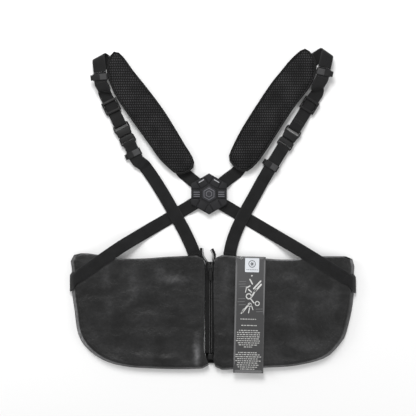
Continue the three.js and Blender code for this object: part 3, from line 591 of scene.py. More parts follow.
def outward(points):
    """The unit direction away from the middle at each point of a closed line."""
    along = np.roll(points, -1, axis=0) - np.roll(points, 1, axis=0)
    along /= np.linalg.norm(along, axis=1, keepdims=True)
    return np.stack([along[:, 1], -along[:, 0]], axis=1)


def reach(points, loop):
    """For each point: its distance to a closed line, and how far round the line that is."""
    after = np.roll(loop, -1, axis=0)
    side = after - loop
    length = np.linalg.norm(side, axis=1)
    start = np.concatenate([[0], np.cumsum(length)[:-1]])
    share = np.clip(np.einsum("ijk,jk->ij", points[:, None] - loop[None], side) / length ** 2, 0, 1)
    gap = np.linalg.norm(points[:, None] - (loop[None] + share[..., None] * side[None]), axis=2)
    nearest = gap.argmin(axis=1)
    rows = np.arange(len(points))
    return gap[rows, nearest], start[nearest] + share[rows, nearest] * length[nearest]


def within(points, loop):
    after = np.roll(loop, -1, axis=0)
    x, y = points[:, 0:1], points[:, 1:2]
    spans = (loop[:, 1] > y) != (after[:, 1] > y)
    rise = np.where(after[:, 1] == loop[:, 1], 1.0, after[:, 1] - loop[:, 1])
    crossing = (after[:, 0] - loop[:, 0]) * (y - loop[:, 1]) / rise + loop[:, 0]
    return (spans & (x < crossing)).sum(axis=1) % 2 == 1


# %% Filled panels
def filled(loop, spacing):
    """Even triangles over a closed line, with one tight row just inside it."""
    rim = loop - outward(loop) * 0.9 * MM
    low, high = loop.min(axis=0), loop.max(axis=0)
    rows = np.arange(low[1], high[1], spacing * 0.866)
    grid = np.array([(x + (k % 2) * spacing / 2, y) for k, y in enumerate(rows)
                     for x in np.arange(low[0], high[0], spacing)])
    grid = grid[within(grid, loop)]
    grid = grid[reach(grid, loop)[0] > 0.9 * MM + 0.55 * spacing]
    given = [Vector(p) for p in np.concatenate([loop, rim, grid])]
    count = len(loop)
    edges = [(k, (k + 1) % count) for k in range(count)]
    spots, _, faces, *_ = delaunay_2d_cdt(given, edges, [], 1, 1e-8)
    return np.array([tuple(p) for p in spots]), [tuple(face) for face in faces]


def panel(name, loop, spacing, top, bottom, look, slot, *nodes, turn=0.0):
    """A closed cloth panel. top and bottom give heights from points, edge distance and run."""
    points, faces = filled(loop, spacing)
    depth, run = reach(points, loop)
    count = len(points)
    upper = np.column_stack([points, top(points, depth, run)])
    lower = np.column_stack([points, bottom(points, depth, run)])
    border = boundary(faces)
    all_faces = faces + [tuple(v + count for v in face[::-1]) for face in faces]
    all_faces += [(b, a, a + count, b + count) for a, b in border]
    piece = mesh_object(name, np.concatenate([upper, lower]), all_faces)
    cos, sin = math.cos(turn), math.sin(turn)
    flat = [v.co.xy for v in piece.data.vertices]
    lay_uv(piece, [(x * cos + y * sin, y * cos - x * sin) for x, y in flat])
    turned_out(piece)
    dress(piece, look, slot, *nodes)
    print(name, count, "points a face")
    return piece


def boundary(faces):
    """The directed edges that only one triangle has."""
    edges = {(f[k], f[(k + 1) % len(f)]) for f in faces for k in range(len(f))}
    return [(a, b) for a, b in edges if (b, a) not in edges]


def eased(value):
    """0 below 0, 1 above 1, and a smooth step between."""
    t = np.clip(value, 0, 1)
    return t * t * (3 - 2 * t)


def cloudy(points, size, seed):
    """Soft random heights from about -1 to 1, with hills of a given size."""
    return np.array([noise.noise(Vector((x / size, y / size, seed))) for x, y in points]) * 1.6


# %% [markdown]
# Sewing shows as single stitches: short, slightly raised threads with a gap between
# them. One helper lays such stitches along any line of points, a hair above the cloth,
# and gathers a whole seam into one piece.

# %% Stitches
def stitch_rows(name, rows, slot, pitch=2.9, length=2.1, width=0.42):
    """Rows are lists of (point, up) in metres. Each stitch is a small rounded bead."""
    points, faces = [], []
    for row in rows:
        spots = np.array([tuple(p) for p, _ in row])
        ups = np.array([tuple(u) for _, u in row])
        run = run_along(spots)
        for start in np.arange(0.4 * MM, run[-1] - length * MM * 0.6, pitch * MM):
            ends = [at_distance(where, run, spots) for where in (start, start + length * MM)]
            up = at_distance(start, run, ups)
            up /= np.linalg.norm(up)
            ahead = (ends[1] - ends[0]) / max(1e-9, np.linalg.norm(ends[1] - ends[0]))
            flank = np.cross(up, ahead)
            first = len(points)
            for share, swell in ((0.0, 0.45), (0.25, 1.0), (0.75, 1.0), (1.0, 0.45)):
                centre = ends[0] + (ends[1] - ends[0]) * share
                for turn in range(6):
                    angle = turn * math.pi / 3
                    points.append(centre + flank * math.cos(angle) * width * MM * 0.5 * swell
                                  + up * (math.sin(angle) * width * MM * 0.42 * swell + 0.08 * MM))
            faces += ring_faces(4, 6, first=first) + end_caps(4, 6, first)
    piece = mesh_object(name, points, faces)
    turned_out(piece)
    dress(piece, thread_look, slot)
    print(name, len(faces) // 20, "stitches")


# %% [markdown]
# Straps are sewn in the same way everywhere: a box of stitches with a cross row at each
# end. A box sits where a loop's tail is caught, at the lap by the pad's top, where a
# front strap enters its pouch, and where a back strap ends on the pouch.

# %% Box stitches on the straps
def box_on(line, start, end, inset=0.13):
    """Rows of (point, up) round a box between two distances along a strap, on its upper face."""
    def at(distance, share):
        middle, across, up = (at_distance(distance, line["run"], line[key])
                              for key in ("middle", "across", "up"))
        up *= math.copysign(1, up[2])
        return Vector(middle + across * share + up * line["half"]), Vector(up)

    edge = 0.5 - inset
    steps = np.linspace(start, end, 8)
    shares = np.linspace(-edge, edge, 8)
    rows = [[at(s, side) for s in steps] for side in (-edge, edge)]
    rows += [[at(s, share) for share in shares] for s in (start, end, start + 2 * MM, end - 2 * MM)]
    return rows


def over_tail(line):
    """The distance along a looped strap where it passes over its own tail's end."""
    later = line["run"] > 22 * MM
    apart = np.linalg.norm(line["middle"][:, :2] - line["middle"][0, :2], axis=1)
    return line["run"][later][np.argmin(apart[later])]


for side in SIDES:
    upper, lower = straps[side, "front_strap_upper"], straps[side, "front_strap_lower"]
    back = straps[side, "back_strap"]
    rows = box_on(upper, upper["run"][-1] - 21 * MM, upper["run"][-1] - 4 * MM)
    rows += box_on(upper, over_tail(upper) - 9 * MM, over_tail(upper) - 2 * MM)
    rows += box_on(lower, over_tail(lower) - 8 * MM, over_tail(lower) - 1 * MM)
    rows += box_on(lower, lower["run"][-1] - 34 * MM, lower["run"][-1] - 22 * MM)
    rows += box_on(back, back["run"][-1] - 34 * MM, back["run"][-1] - 18 * MM)
    stitch_rows(f"{side}_strap_stitches", rows, "webbing", pitch=2.6, length=1.9, width=0.5)


# %% [markdown]
# A shoulder pad is a foam core between a spacer-mesh face and a smooth backing, with a
# folded tape sewn round the rim. The face crowns over the foam and pulls down where the
# tape holds it. The heights are given by how far each point lies from the rim, which
# keeps the crown even round the curved ends.

# %% Shoulder pads
PAD_FACE_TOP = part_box("left_pad_mesh_face")[1][2]
PAD_FOAM_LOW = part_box("left_pad_foam")[0][2]
PAD_LOW, PAD_BIND_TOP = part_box("left_pad_binding")[0][2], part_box("left_pad_binding")[1][2]


def pad_crown(points, depth, run):
    pulled = 3.4 * MM * np.exp(-depth / (3.2 * MM))
    crowned = 1.3 * MM * eased(depth / (24 * MM))
    phase = run / (7.5 * MM) * 2 * math.pi + 3 * cloudy(points, 0.05, 4.0)
    pucker = 0.35 * MM * np.sin(phase) * np.exp(-depth / (5 * MM))
    lumps = 0.45 * MM * cloudy(points, 0.028, 2.0) * eased(depth / (8 * MM))
    return PAD_FACE_TOP - pulled + crowned + pucker + lumps


def pad_underside(points, depth, run):
    return PAD_FOAM_LOW + 0.9 * MM * np.exp(-depth / (3 * MM))


def rolled_edge(name, loop, half_width, low, high, look, slot, *nodes, pitch=3.0, wobble=0.0):
    """A tape folded round a rim: an oval section swept round a closed line, inside it."""
    line = even_loop(loop, pitch * MM)
    out = outward(line)
    centre = line - out * half_width
    middle, half = (low + high) / 2, (high - low) / 2
    turns = 14
    run = run_along(line)
    points, uvs = [], []
    for k, (spot, away) in enumerate(zip(centre, out)):
        swell = min(1.0, 1 + wobble * math.sin(run[k] / (6 * MM) * 2 * math.pi + 2.0 * math.sin(run[k] * 90)))
        for turn in range(turns):
            angle = 2 * math.pi * turn / turns
            sideways = abs(math.cos(angle)) ** 0.8 * math.copysign(1, math.cos(angle))
            upright = abs(math.sin(angle)) ** 0.7 * math.copysign(1, math.sin(angle))
            points.append((*(spot + away * sideways * half_width * swell), middle + upright * half * swell))
            uvs.append((run[k], turn * 1.4 * MM))
    piece = mesh_object(name, points, ring_faces(len(line), turns, closed=True))
    lay_uv(piece, uvs)
    turned_out(piece)
    dress(piece, look, slot, *nodes)
    return centre


for side in SIDES:
    core = even_loop(outline_of(f"{side}_pad_mesh_face"), 4 * MM)
    rim = outline_of(f"{side}_pad_backing")
    rim = rim + outward(rim) * 2.5 * MM
    spread = np.linalg.svd(core - core.mean(axis=0))[2][0]
    turn = math.atan2(spread[1], spread[0])
    face = panel(f"{side}_pad_cushion", core, 3.6 * MM, pad_crown, pad_underside, mesh_look, "spacer_mesh",
                 f"{side}_pad_mesh_face", f"{side}_pad_foam")
    backing_low, backing_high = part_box(f"{side}_pad_backing")[0][2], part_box(f"{side}_pad_backing")[1][2]
    panel(f"{side}_pad_lining", core, 6 * MM,
          lambda p, d, r: backing_high - 0.2 * MM * np.exp(-d / MM),
          lambda p, d, r: backing_low + 0.3 * MM * np.exp(-d / MM),
          lining_look, "pouch_lining", f"{side}_pad_backing", turn=turn)
    centre = rolled_edge(f"{side}_pad_edge_tape", rim, 1.95 * MM, PAD_LOW, PAD_BIND_TOP - 0.3 * MM,
                         binding_look, "binding", f"{side}_pad_binding", wobble=0.03)
    inward = centre - outward(centre) * 0.9 * MM
    row = [(Vector((x, y, PAD_BIND_TOP - 0.85 * MM)), UP) for x, y in np.vstack([inward, inward[:1]])]
    stitch_rows(f"{side}_pad_edge_stitches", [row], "binding")

# %% [markdown]
# A pouch is a shell: a front panel and a slightly larger back panel joined by a side
# band that leans outwards, so its edge shows from above. The front panel is coated cloth
# that sags a little between its seams, puckers along them, and stays flat where a strap
# crosses it. Its hills and hollows are laid in as heights over an even fill of points.

# %% Pouch heights
NEAR_POUCH = -0.09
OVER_POUCH = ("back_strap", "front_strap_lower")
strap_spots = np.array([p[:2] for (_, part), line in straps.items() if part in OVER_POUCH
                        for p in line["middle"][::2] if p[1] < NEAR_POUCH])


def off_straps(points):
    """0 under a strap and 1 well away from the straps."""
    near = np.array([np.linalg.norm(strap_spots - p, axis=1).min() for p in points])
    return eased((near - 15 * MM) / (26 * MM))


TAG_FIRST_CORNER, TAG_LAST_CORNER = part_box("tag_strip")
TAG_MARGIN = 4 * MM


def under_tag(points):
    """True where the tag lies over a point or close beside it."""
    low, high = np.array(TAG_FIRST_CORNER[:2]) - TAG_MARGIN, np.array(TAG_LAST_CORNER[:2]) + TAG_MARGIN
    return np.all((points > low) & (points < high), axis=1)


def crease(points, start, end, width):
    """1 on a straight line between two points, fading out to its sides and ends."""
    start, end = np.array(start), np.array(end)
    along = (end - start) / np.linalg.norm(end - start)
    share = (points - start) @ along / np.linalg.norm(end - start)
    side = (points - start) @ np.array([-along[1], along[0]])
    return np.exp(-(side / width) ** 2) * eased(share * 4) * eased((1 - share) * 4)


def pouch_front_heights(top_level, folds):
    def heights(points, depth, run):
        free = off_straps(points)
        deep = eased(depth / (38 * MM))
        hills = cloudy(points, 0.075, 1.0) + 0.6 * cloudy(points * np.array([1.0, 1.9]), 0.04, 5.0)
        phase = run / (11 * MM) * 2 * math.pi + 5 * cloudy(points, 0.04, 3.0)
        pucker = np.sin(phase) * np.exp(-depth / (7 * MM))
        rise = free * (-1.6 * deep + 1.5 * hills * eased(depth / (14 * MM))) * MM + 0.4 * MM * pucker
        for start, end, width, height in folds:
            rise += height * MM * crease(points, start, end, width * MM) * free
        rise = np.where(under_tag(points), np.minimum(rise, 0.0), rise)
        return top_level + rise - 0.9 * MM * np.exp(-depth / (0.8 * MM))
    return heights


FOLDS = {
    "left": [((-0.024, -0.27), (-0.026, -0.345), 5, 1.6), ((-0.05, -0.15), (-0.078, -0.188), 4, 1.2),
             ((-0.078, -0.186), (-0.098, -0.15), 4, 1.1), ((-0.2, -0.31), (-0.25, -0.24), 8, -1.2),
             ((-0.13, -0.2), (-0.2, -0.25), 9, 1.0), ((-0.06, -0.33), (-0.16, -0.32), 6, 0.9)],
    "right": [((0.20, -0.17), (0.17, -0.24), 7, 1.0), ((0.24, -0.2), (0.26, -0.27), 8, -1.1),
              ((0.14, -0.29), (0.2, -0.32), 7, 0.9), ((0.035, -0.2), (0.036, -0.3), 5, 0.9)],
}

# %% Pouch pieces
FRONT_LOW, FRONT_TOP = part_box("left_pouch_front_panel")[0][2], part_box("left_pouch_front_panel")[1][2]
BACK_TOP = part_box("left_pouch_back_panel")[1][2]
MOUTH_LEVEL = -0.1355


def matched(loop, other):
    """The other closed line, started where it runs beside the first."""
    shifts = [np.linalg.norm(loop - np.roll(other, -k, axis=0), axis=1).sum() for k in range(len(other))]
    return np.roll(other, -int(np.argmin(shifts)), axis=0)


def side_band(name, low_loop, high_loop, low, high, node):
    """The gusset between two outlines, bulging a little, open along the mouth."""
    rows = 6
    out = outward(low_loop)
    sideways = np.abs(high_loop[:, 0])
    closed = (high_loop[:, 1] < MOUTH_LEVEL) | (sideways > 0.97 * sideways.max())
    points = []
    for row in range(rows + 1):
        share = row / rows
        bulge = 1.1 * MM * math.sin(math.pi * share)
        line = low_loop + (high_loop - low_loop) * share + out * bulge
        points += [(x, y, low + (high - low) * share) for x, y in line]
    count = len(low_loop)
    faces = [f for f in ring_faces(rows + 1, count) if closed[f[0] % count] and closed[f[1] % count]]
    piece = mesh_object(name, points, faces)
    turned_out(piece)
    skin = piece.modifiers.new("cloth_thickness", "SOLIDIFY")
    skin.thickness = 1.1 * MM
    skin.offset = -1
    # The band wears the lighter edge cloth, whose colour paints its highlight.
    dress(piece, edge_look, "pouch_shell", node)


def open_stretches(row, shown):
    """The runs of a closed row that are shown, each as its own list."""
    count = len(row)
    rows = []
    for start in [k for k in range(count) if shown[k] and not shown[k - 1]] or [0]:
        stretch = []
        while len(stretch) < count and shown[(start + len(stretch)) % count]:
            stretch.append(row[(start + len(stretch)) % count])
        rows.append(stretch)
    return [stretch for stretch in rows if len(stretch) > 1]


for side in SIDES:
    front_loop = outline_of(f"{side}_pouch_front_panel", up=False)
    back_loop = outline_of(f"{side}_pouch_back_panel")
    back_loop = matched(front_loop, back_loop)
    fine_front, fine_back = even_loop(front_loop, 4 * MM), even_loop(back_loop, 4 * MM)
    heights = pouch_front_heights(FRONT_TOP, FOLDS[side])
    front = panel(f"{side}_pouch_front", fine_front, 3.4 * MM, heights,
                  lambda p, d, r: heights(p, d, r) - (1.5 - 1.3 * np.exp(-d / (0.8 * MM))) * MM,
                  shell_look, "pouch_shell", f"{side}_pouch_front_panel")
    panel(f"{side}_pouch_back", fine_back, 8 * MM,
          lambda p, d, r: np.full(len(p), BACK_TOP) - 0.4 * MM * np.exp(-d / MM),
          lambda p, d, r: np.zeros(len(p)) + 0.4 * MM * np.exp(-d / MM),
          lining_look, "pouch_lining", f"{side}_pouch_back_panel")
    side_band(f"{side}_pouch_edge_band", back_loop - outward(back_loop) * 0.6 * MM,
              front_loop - outward(front_loop) * 0.6 * MM, BACK_TOP - 0.2 * MM, FRONT_LOW + 0.6 * MM,
              f"{side}_pouch_side_band")
    for label, inset in (("edge", 1.6), ("topstitch", 6.0)):
        line = fine_front - outward(fine_front) * inset * MM
        depth, run = reach(line, fine_front)
        levels = heights(line, depth, run)
        row = [(Vector((x, y, z)), UP) for (x, y), z in zip(line, levels)]
        rows = open_stretches(row, ~under_tag(line) & (off_straps(line) > 0))
        stitch_rows(f"{side}_pouch_{label}_stitches", rows, "pouch_shell", pitch=3.2)


# %% [markdown]
# The mouth of each pouch is finished with a folded hem. It is a thin roll along the upper
# edge of the front panel, ended where the side seams begin. It wears the lighter edge
# cloth, so its highlight is painted into its colour.

# %% Hemmed mouths
def roll_along(name, points, ups, half_width, half_height, look, slot, turns=10):
    """An oval bead along an open line of points, with rounded ends."""
    spots, ups = np.array(points), np.array(ups)
    ahead = np.gradient(spots, axis=0)
    ahead /= np.linalg.norm(ahead, axis=1, keepdims=True)
    flank = np.cross(ups, ahead)
    run = run_along(spots)
    made, uvs = [], []
    for k in range(len(spots)):
        close = min(1.0, 0.35 + min(run[k], run[-1] - run[k]) / (2 * half_width))
        for turn in range(turns):
            angle = 2 * math.pi * turn / turns
            wide, tall = math.cos(angle) * half_width, math.sin(angle) * half_height
            made.append(spots[k] + (flank[k] * wide + ups[k] * tall) * close)
            uvs.append((run[k], turn * 2 * math.pi * half_width / turns))
    piece = mesh_object(name, made, ring_faces(len(spots), turns) + end_caps(len(spots), turns))
    lay_uv(piece, uvs)
    turned_out(piece)
    dress(piece, look, slot)


def mouth_line(loop):
    """The stretch of a pouch outline along its mouth, from left to right."""
    upper = loop[loop[:, 1] > loop[:, 1].max() - 14 * MM]
    return upper[np.argsort(upper[:, 0])]


for side in SIDES:
    line = mouth_line(even_loop(outline_of(f"{side}_pouch_front_panel", up=False), 4 * MM))
    line = line[4:-4]
    line = line - np.array([0, 1.5 * MM])
    spots = [(x, y, FRONT_TOP - 0.55 * MM) for x, y in line]
    roll_along(f"{side}_pouch_mouth_hem", spots, [(0, 0, 1)] * len(spots), 1.5 * MM, 0.75 * MM, edge_look,
               "pouch_shell")

# %% [markdown]
# The zip's tapes are woven bands, lofted like the straps but thin. Each chain is a row
# of small moulded teeth. One rounded tooth is repeated along the chain's middle line,
# and the two sides are half a pitch apart, as they are when they mesh.

# %% Zip tapes and teeth
TOOTH_PITCH = 2.3 * MM


def tooth_chain(name, node, start):
    rings = rings_of(node)
    middle = rings.mean(axis=1)
    across = rings[:, 2:].mean(axis=1) - rings[:, :2].mean(axis=1)
    run = run_along(middle)
    points, faces = [], []
    for at in np.arange(start, run[-1] - TOOTH_PITCH / 2, TOOTH_PITCH):
        spot, wide = at_distance(at, run, middle), at_distance(at, run, across)
        ahead = at_distance(at + 1 * MM, run, middle) - spot
        ahead /= max(1e-9, np.linalg.norm(ahead))
        side = wide / np.linalg.norm(wide)
        up = np.cross(ahead, side)
        up *= math.copysign(1, up[2])
        half = np.linalg.norm(wide) / 2
        first = len(points)
        for share, swell in ((-1.0, 0.55), (-0.7, 0.9), (0.0, 1.0), (0.7, 0.9), (1.0, 0.55)):
            for turn in range(8):
                angle = (turn + 0.5) * math.pi / 4
                points.append(spot + side * half * share * 0.96 + ahead * math.cos(angle) * 0.86 * MM * swell
                              + up * math.sin(angle) * 1.28 * MM * swell)
        faces += ring_faces(5, 8, first=first) + end_caps(5, 8, first)
    piece = mesh_object(name, points, faces)
    turned_out(piece)
    dress(piece, teeth_look, "zip_teeth", node)
    print(name, len(points) // 40, "teeth")


teeth_look = moulded("zip_teeth_plastic", 0.035, 0.075, 1.0, 0.3, 0.45)
for side, start in (("left", 0.4 * MM), ("right", 0.4 * MM + TOOTH_PITCH / 2)):
    tooth_chain(f"zip_{side}_chain", f"zip_{side}_teeth", start)
    line = webbing(f"zip_{side}_woven_tape", f"zip_{side}_tape", tape_look, "zip_tape", pitch=3.0)
    outer = line["middle"] + line["across"] * (-0.3 if side == "left" else 0.3) + line["up"] * line["half"]
    steady = [(Vector(p), UP) for p, at in zip(outer, line["middle"]) if at[1] < -0.13]
    stitch_rows(f"zip_{side}_tape_stitches", [steady], "zip_tape", pitch=2.6, length=1.9)

# %% [markdown]
# Behind the zip a strip of lining joins the two pouches, so that the vest shows a dark
# line and not the floor between the two chains. It is a thin flat panel, set low enough
# for the slider to pass over it.

# %% Underlap behind the zip
LAP_BOTTOM, LAP_TOP = 2.0 * MM, 3.2 * MM
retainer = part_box("zip_retainer_box")
lap_left, lap_right = retainer[0][0] - 5 * MM, retainer[1][0] + 3 * MM
lap_low, lap_high = retainer[0][1] - 8 * MM, MOUTH_LEVEL
lap_corners = [(lap_left, lap_low), (lap_right, lap_low), (lap_right, lap_high), (lap_left, lap_high)]
lap = even_loop(np.array(lap_corners), 3 * MM)
panel("zip_underlap", lap, 4 * MM,
      lambda p, d, r: LAP_TOP + 0.3 * MM * cloudy(p, 0.03, 6.0) - 0.3 * MM * np.exp(-d / MM),
      lambda p, d, r: LAP_BOTTOM + 0.2 * MM * np.exp(-d / MM),
      lining_look, "pouch_lining")
print("underlap:", round((lap_right - lap_left) * 1000), "x", round((lap_high - lap_low) * 1000), "mm")

# %% [markdown]
# Moulded and cast parts keep the frame's shape. A copy of each solid gets its flat faces
# joined, its sharp edges rounded by a fine bevel, and smooth shading between them, so
# that every edge catches a thin line of light as a real moulding does.

# %% Moulded parts
def finer(name, node, look, slot, body, width, angle=28):
    """A copy of a node's solid with edges over an angle rounded by a width in millimetres."""
    whole = merged(node)
    bmesh.ops.dissolve_limit(whole, angle_limit=math.radians(1.5), verts=whole.verts, edges=whole.edges)
    whole.normal_update()
    sharp = [e for e in whole.edges if len(e.link_faces) == 2 and e.calc_face_angle(0) > math.radians(angle)]
    bmesh.ops.bevel(whole, geom=sharp, offset=width * MM, segments=2, profile=0.6, affect="EDGES",
                    clamp_overlap=True)
    dress(sharp_edged(name, whole, 38), look, slot, node, body=body)


finer("hub_back_plate", "hub_base_plate", hub_look, "hub_plastic", "vest", 0.35)
finer("hub_front_cover", "hub_cover", hub_look, "hub_plastic", "vest", 0.8)
finer("hub_middle", "hub_emblem", emblem_look, "emblem_plastic", "vest", 0.3)
for number in (1, 2, 3, 4):
    finer(f"hub_fixing_{number}", f"hub_screw_{number}", steel_look, "screw_steel", "vest", 0.2, angle=50)
for side in SIDES:
    finer(f"{side}_tri_glide", f"{side}_adjuster", plastic_look, "hardware_plastic", f"{side}_adjuster", 0.5)
    finer(f"{side}_clip_socket", f"{side}_buckle_socket", plastic_look, "hardware_plastic", "vest", 0.45)
    finer(f"{side}_clip_plug", f"{side}_buckle_plug", plastic_look, "hardware_plastic", "vest", 0.45)
    for arm in ("inner", "outer"):
        finer(f"{side}_clip_{arm}_arm", f"{side}_buckle_{arm}_arm", plastic_look, "hardware_plastic",
              f"{side}_{arm}_arm", 0.5)
finer("zip_runner", "zip_slider", slider_look, "zip_metal", "slider", 0.3)
finer("zip_puller", "zip_pull", slider_look, "zip_metal", "pull", 0.35)
finer("zip_foot_box", "zip_retainer_box", slider_look, "zip_metal", "vest", 0.5)
finer("tag_ring", "tag_eyelet", steel_look, "zip_metal", "vest", 0.12)

# %% [markdown]
# Small raised details sit on the hub: grip ribs on its side petals, bars on the rims of its
# two upper petals, and nested hexagons in its middle. Each is a low bar with rounded edges,
# set into the surface under it. The ribs and hexagons are coloured far lighter than the hub
# and the rim bars lighter still, as painted highlights, and a darker bar between two ribs is
# painted shade for a groove.

# %% Raised bars
def raised_bars(name, bars, look, slot, body="vest", bevel=0.3):
    """Bars are (x, y, bottom, length, width, height, degrees), in millimetres."""
    whole = bmesh.new()
    for x, y, bottom, length, width, height, degrees in bars:
        made = bmesh.ops.create_cube(whole, size=1.0)["verts"]
        size = Matrix.Diagonal((length * MM, width * MM, height * MM, 1))
        turn = Matrix.Rotation(math.radians(degrees), 4, "Z")
        move = Matrix.Translation(Vector((x, y, bottom + height / 2)) * MM)
        bmesh.ops.transform(whole, matrix=move @ turn @ size, verts=made)
    bmesh.ops.bevel(whole, geom=list(whole.edges), offset=bevel * MM, segments=2, profile=0.6, affect="EDGES",
                    clamp_overlap=True)
    dress(sharp_edged(name, whole, 40), look, slot, body=body)


# Painted highlight: the ribs and the hexagons are coloured far lighter than the hub they are moulded on.
rib_look = moulded("hub_rib_highlight", 0.11, 0.16, 1.12, 0.25, 0.38)
petal_highlight_look = moulded("hub_petal_highlight", 0.26, 0.36, 1.05, 0.22, 0.32)
PETAL_TOP = 10.1
SUNK = 0.2
RIB_OUT, RIB_LENGTH = 24.5, 12.5
ribs = [(side * RIB_OUT, y, PETAL_TOP - SUNK, RIB_LENGTH, 1.5, 0.85, 0) for side in (-1, 1)
        for y in (3.6, -0.9, -4.8)]
raised_bars("hub_side_ribs", ribs, rib_look, "hub_plastic")
# Painted shade: a darker bar between the two lower ribs stands for the shade in a groove.
groove_shade_bars = [(side * RIB_OUT, -2.85, PETAL_TOP - SUNK, RIB_LENGTH, 2.0, 0.35, 0) for side in (-1, 1)]
raised_bars("hub_side_groove_shade", groove_shade_bars, plastic_look, "hub_plastic", bevel=0.1)
# Painted highlight: light bars along the bevelled rims of the two upper petals.
petal_highlight_bars = [(side * 15.2, 25.6, PETAL_TOP - SUNK, 12.0, 1.9, 0.8, -side * 30) for side in (-1, 1)]
raised_bars("hub_petal_highlight_bars", petal_highlight_bars, petal_highlight_look, "hub_plastic")


def hexagon_bars(radius, width, bottom, height):
    flat = radius * math.cos(math.pi / 6)
    bars = []
    for degrees in range(0, 360, 60):
        turn = math.radians(degrees)
        x, y = flat * math.cos(turn), flat * math.sin(turn)
        bars.append((x, y, bottom, radius, width, height, degrees + 90))
    return bars


emblem_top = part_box("hub_emblem")[1][2] / MM
nested = [bar for radius, width in ((11.5, 1.1), (6.2, 1.0))
          for bar in hexagon_bars(radius, width, emblem_top - SUNK, 0.7)]
raised_bars("hub_middle_hexagons", nested, rib_look, "emblem_plastic", bevel=0.2)

# %% [markdown]
# A keeper is a loop of elastic sewn round the strap. It is an oval sleeve with soft
# corners and a slight waist, and it slides with its own body. Its lighter woven patch
# lies on the half that faces the pad.

# %% Elastic keepers
KEEPER_LENGTH = 13 * MM
KEEPER_WALL = 0.95 * MM
TAB_REACH = 5.6 * MM
TAB_SUNK = 0.8 * MM
TAB_HALF = 5.4 * MM


def squared_ring(count, power):
    """The points of a unit circle pushed out towards a square with rounded corners."""
    for k in range(count):
        angle = 2 * math.pi * k / count
        c, s = math.cos(angle), math.sin(angle)
        shape = (abs(c) ** power + abs(s) ** power) ** (-1 / power)
        yield c * shape, s * shape, s


def keeper_frame(node):
    """A keeper sleeve's middle, its directions along and out towards its tab, and half sizes."""
    whole = merged(node)
    edges = [(e.calc_length(), e.verts[1].co - e.verts[0].co) for e in whole.edges]
    along = next(way for length, way in edges
                 if abs(length - KEEPER_LENGTH) < 0.1 * MM and abs(way.z) < 1e-6).normalized()
    across = Vector((-along.y, along.x, 0))
    spots = [v.co.copy() for v in whole.verts]
    whole.free()
    low, high = min(p.z for p in spots), max(p.z for p in spots)
    widest = [p.dot(across) for p in spots if p.z > high - 0.1 * MM]
    if max(p.dot(across) for p in spots) < max(widest) + 1 * MM:
        across, widest = -across, [-w for w in widest]
    reached = [p.dot(along) for p in spots]
    middle = across * (max(widest) + min(widest)) / 2 + along * (max(reached) + min(reached)) / 2
    middle += UP * (low + high) / 2
    return middle, along, across, (max(widest) - min(widest)) / 2, (high - low) / 2


def keeper_sleeve(name, node, body):
    """The elastic loop: an outer and an inner skin joined at both ends."""
    middle, along, across, half, tall = keeper_frame(node)
    count, steps = 40, 8
    points, uvs = [], []
    for step in range(steps + 1):
        share = step / steps - 0.5
        lip = 0.09 * MM * (1 - (2 * share) ** 6)
        for wall in (0, KEEPER_WALL):
            for wide, high, sine in squared_ring(count, 8):
                x = wide * (half - wall)
                z = high * (tall - wall) + (lip * (abs(sine) > 0.7) if wall == 0 else 0)
                points.append(middle + along * share * KEEPER_LENGTH + across * x + Vector((0, 0, z)))
                uvs.append((x + z, share * KEEPER_LENGTH))
    ring = 2 * count
    faces = []
    for step in range(steps):
        for k in range(count):
            a, b = step * ring + k, step * ring + (k + 1) % count
            faces.append((a, b, b + ring, a + ring))
            faces.append((b + count, a + count, a + count + ring, b + count + ring))
    for a in range(count):
        b = (a + 1) % count
        faces.append((b, a, a + count, b + count))
        faces.append((a + steps * ring, b + steps * ring, b + steps * ring + count, a + steps * ring + count))
    piece = mesh_object(name, points, faces)
    lay_uv(piece, uvs)
    turned_out(piece)
    dress(piece, elastic_look, "elastic", node, body=body)
    return middle, along, across, half, tall


def keeper_tab(name, middle, along, across, half, body):
    """The folded, sewn end of the elastic that stands out past the strap's edge."""
    columns, count = 6, 16
    points = []
    for column in range(columns + 1):
        share = column / columns
        thick = (1.05 if share < 0.8 else 0.75) * MM
        out = middle + across * (half - TAB_SUNK + share * TAB_REACH)
        points += [out + along * wide * TAB_HALF + Vector((0, 0, high * thick))
                   for wide, high, _ in squared_ring(count, 6)]
    piece = mesh_object(name, points, ring_faces(columns + 1, count) + end_caps(columns + 1, count))
    lay_uv(piece, [(v.co.dot(across), v.co.dot(along)) for v in piece.data.vertices])
    turned_out(piece)
    dress(piece, elastic_look, "elastic", body=body)


def woven_patch(name, middle, along, across, length, width, look, slot, body):
    """A thin patch on a flat top, with soft corners and a UV map in metres."""
    points, faces = [], []
    columns, rows = 10, 8
    for row in range(rows + 1):
        for column in range(columns + 1):
            u, v = 2 * column / columns - 1, 2 * row / rows - 1
            soft = 0.12 * MM * (1 - max(abs(u), abs(v)) ** 6)
            points.append(middle + across * u * width / 2 + along * v * length / 2 + Vector((0, 0, soft)))
    for row in range(rows):
        for column in range(columns):
            a = row * (columns + 1) + column
            faces.append((a, a + 1, a + columns + 2, a + columns + 1))
    piece = mesh_object(name, points, faces)
    lay_uv(piece, [(v.co.dot(along), v.co.dot(across)) for v in piece.data.vertices])
    thick = piece.modifiers.new("patch_thickness", "SOLIDIFY")
    thick.thickness = 0.25 * MM
    thick.offset = 1
    dress(piece, look, slot, body=body)


for side in SIDES:
    for which in ("upper", "lower"):
        body = f"{side}_{which}_keeper"
        middle, along, across, half, tall = keeper_sleeve(f"{body}_sleeve", body, body)
        keeper_tab(f"{body}_tab", middle, along, across, half, body)
        top = middle + Vector((0, 0, tall + 0.02 * MM)) - across * 5.2 * MM
        woven_patch(f"{body}_patch", top, along, across, 12 * MM, 14.5 * MM, patch_look, "elastic", body)

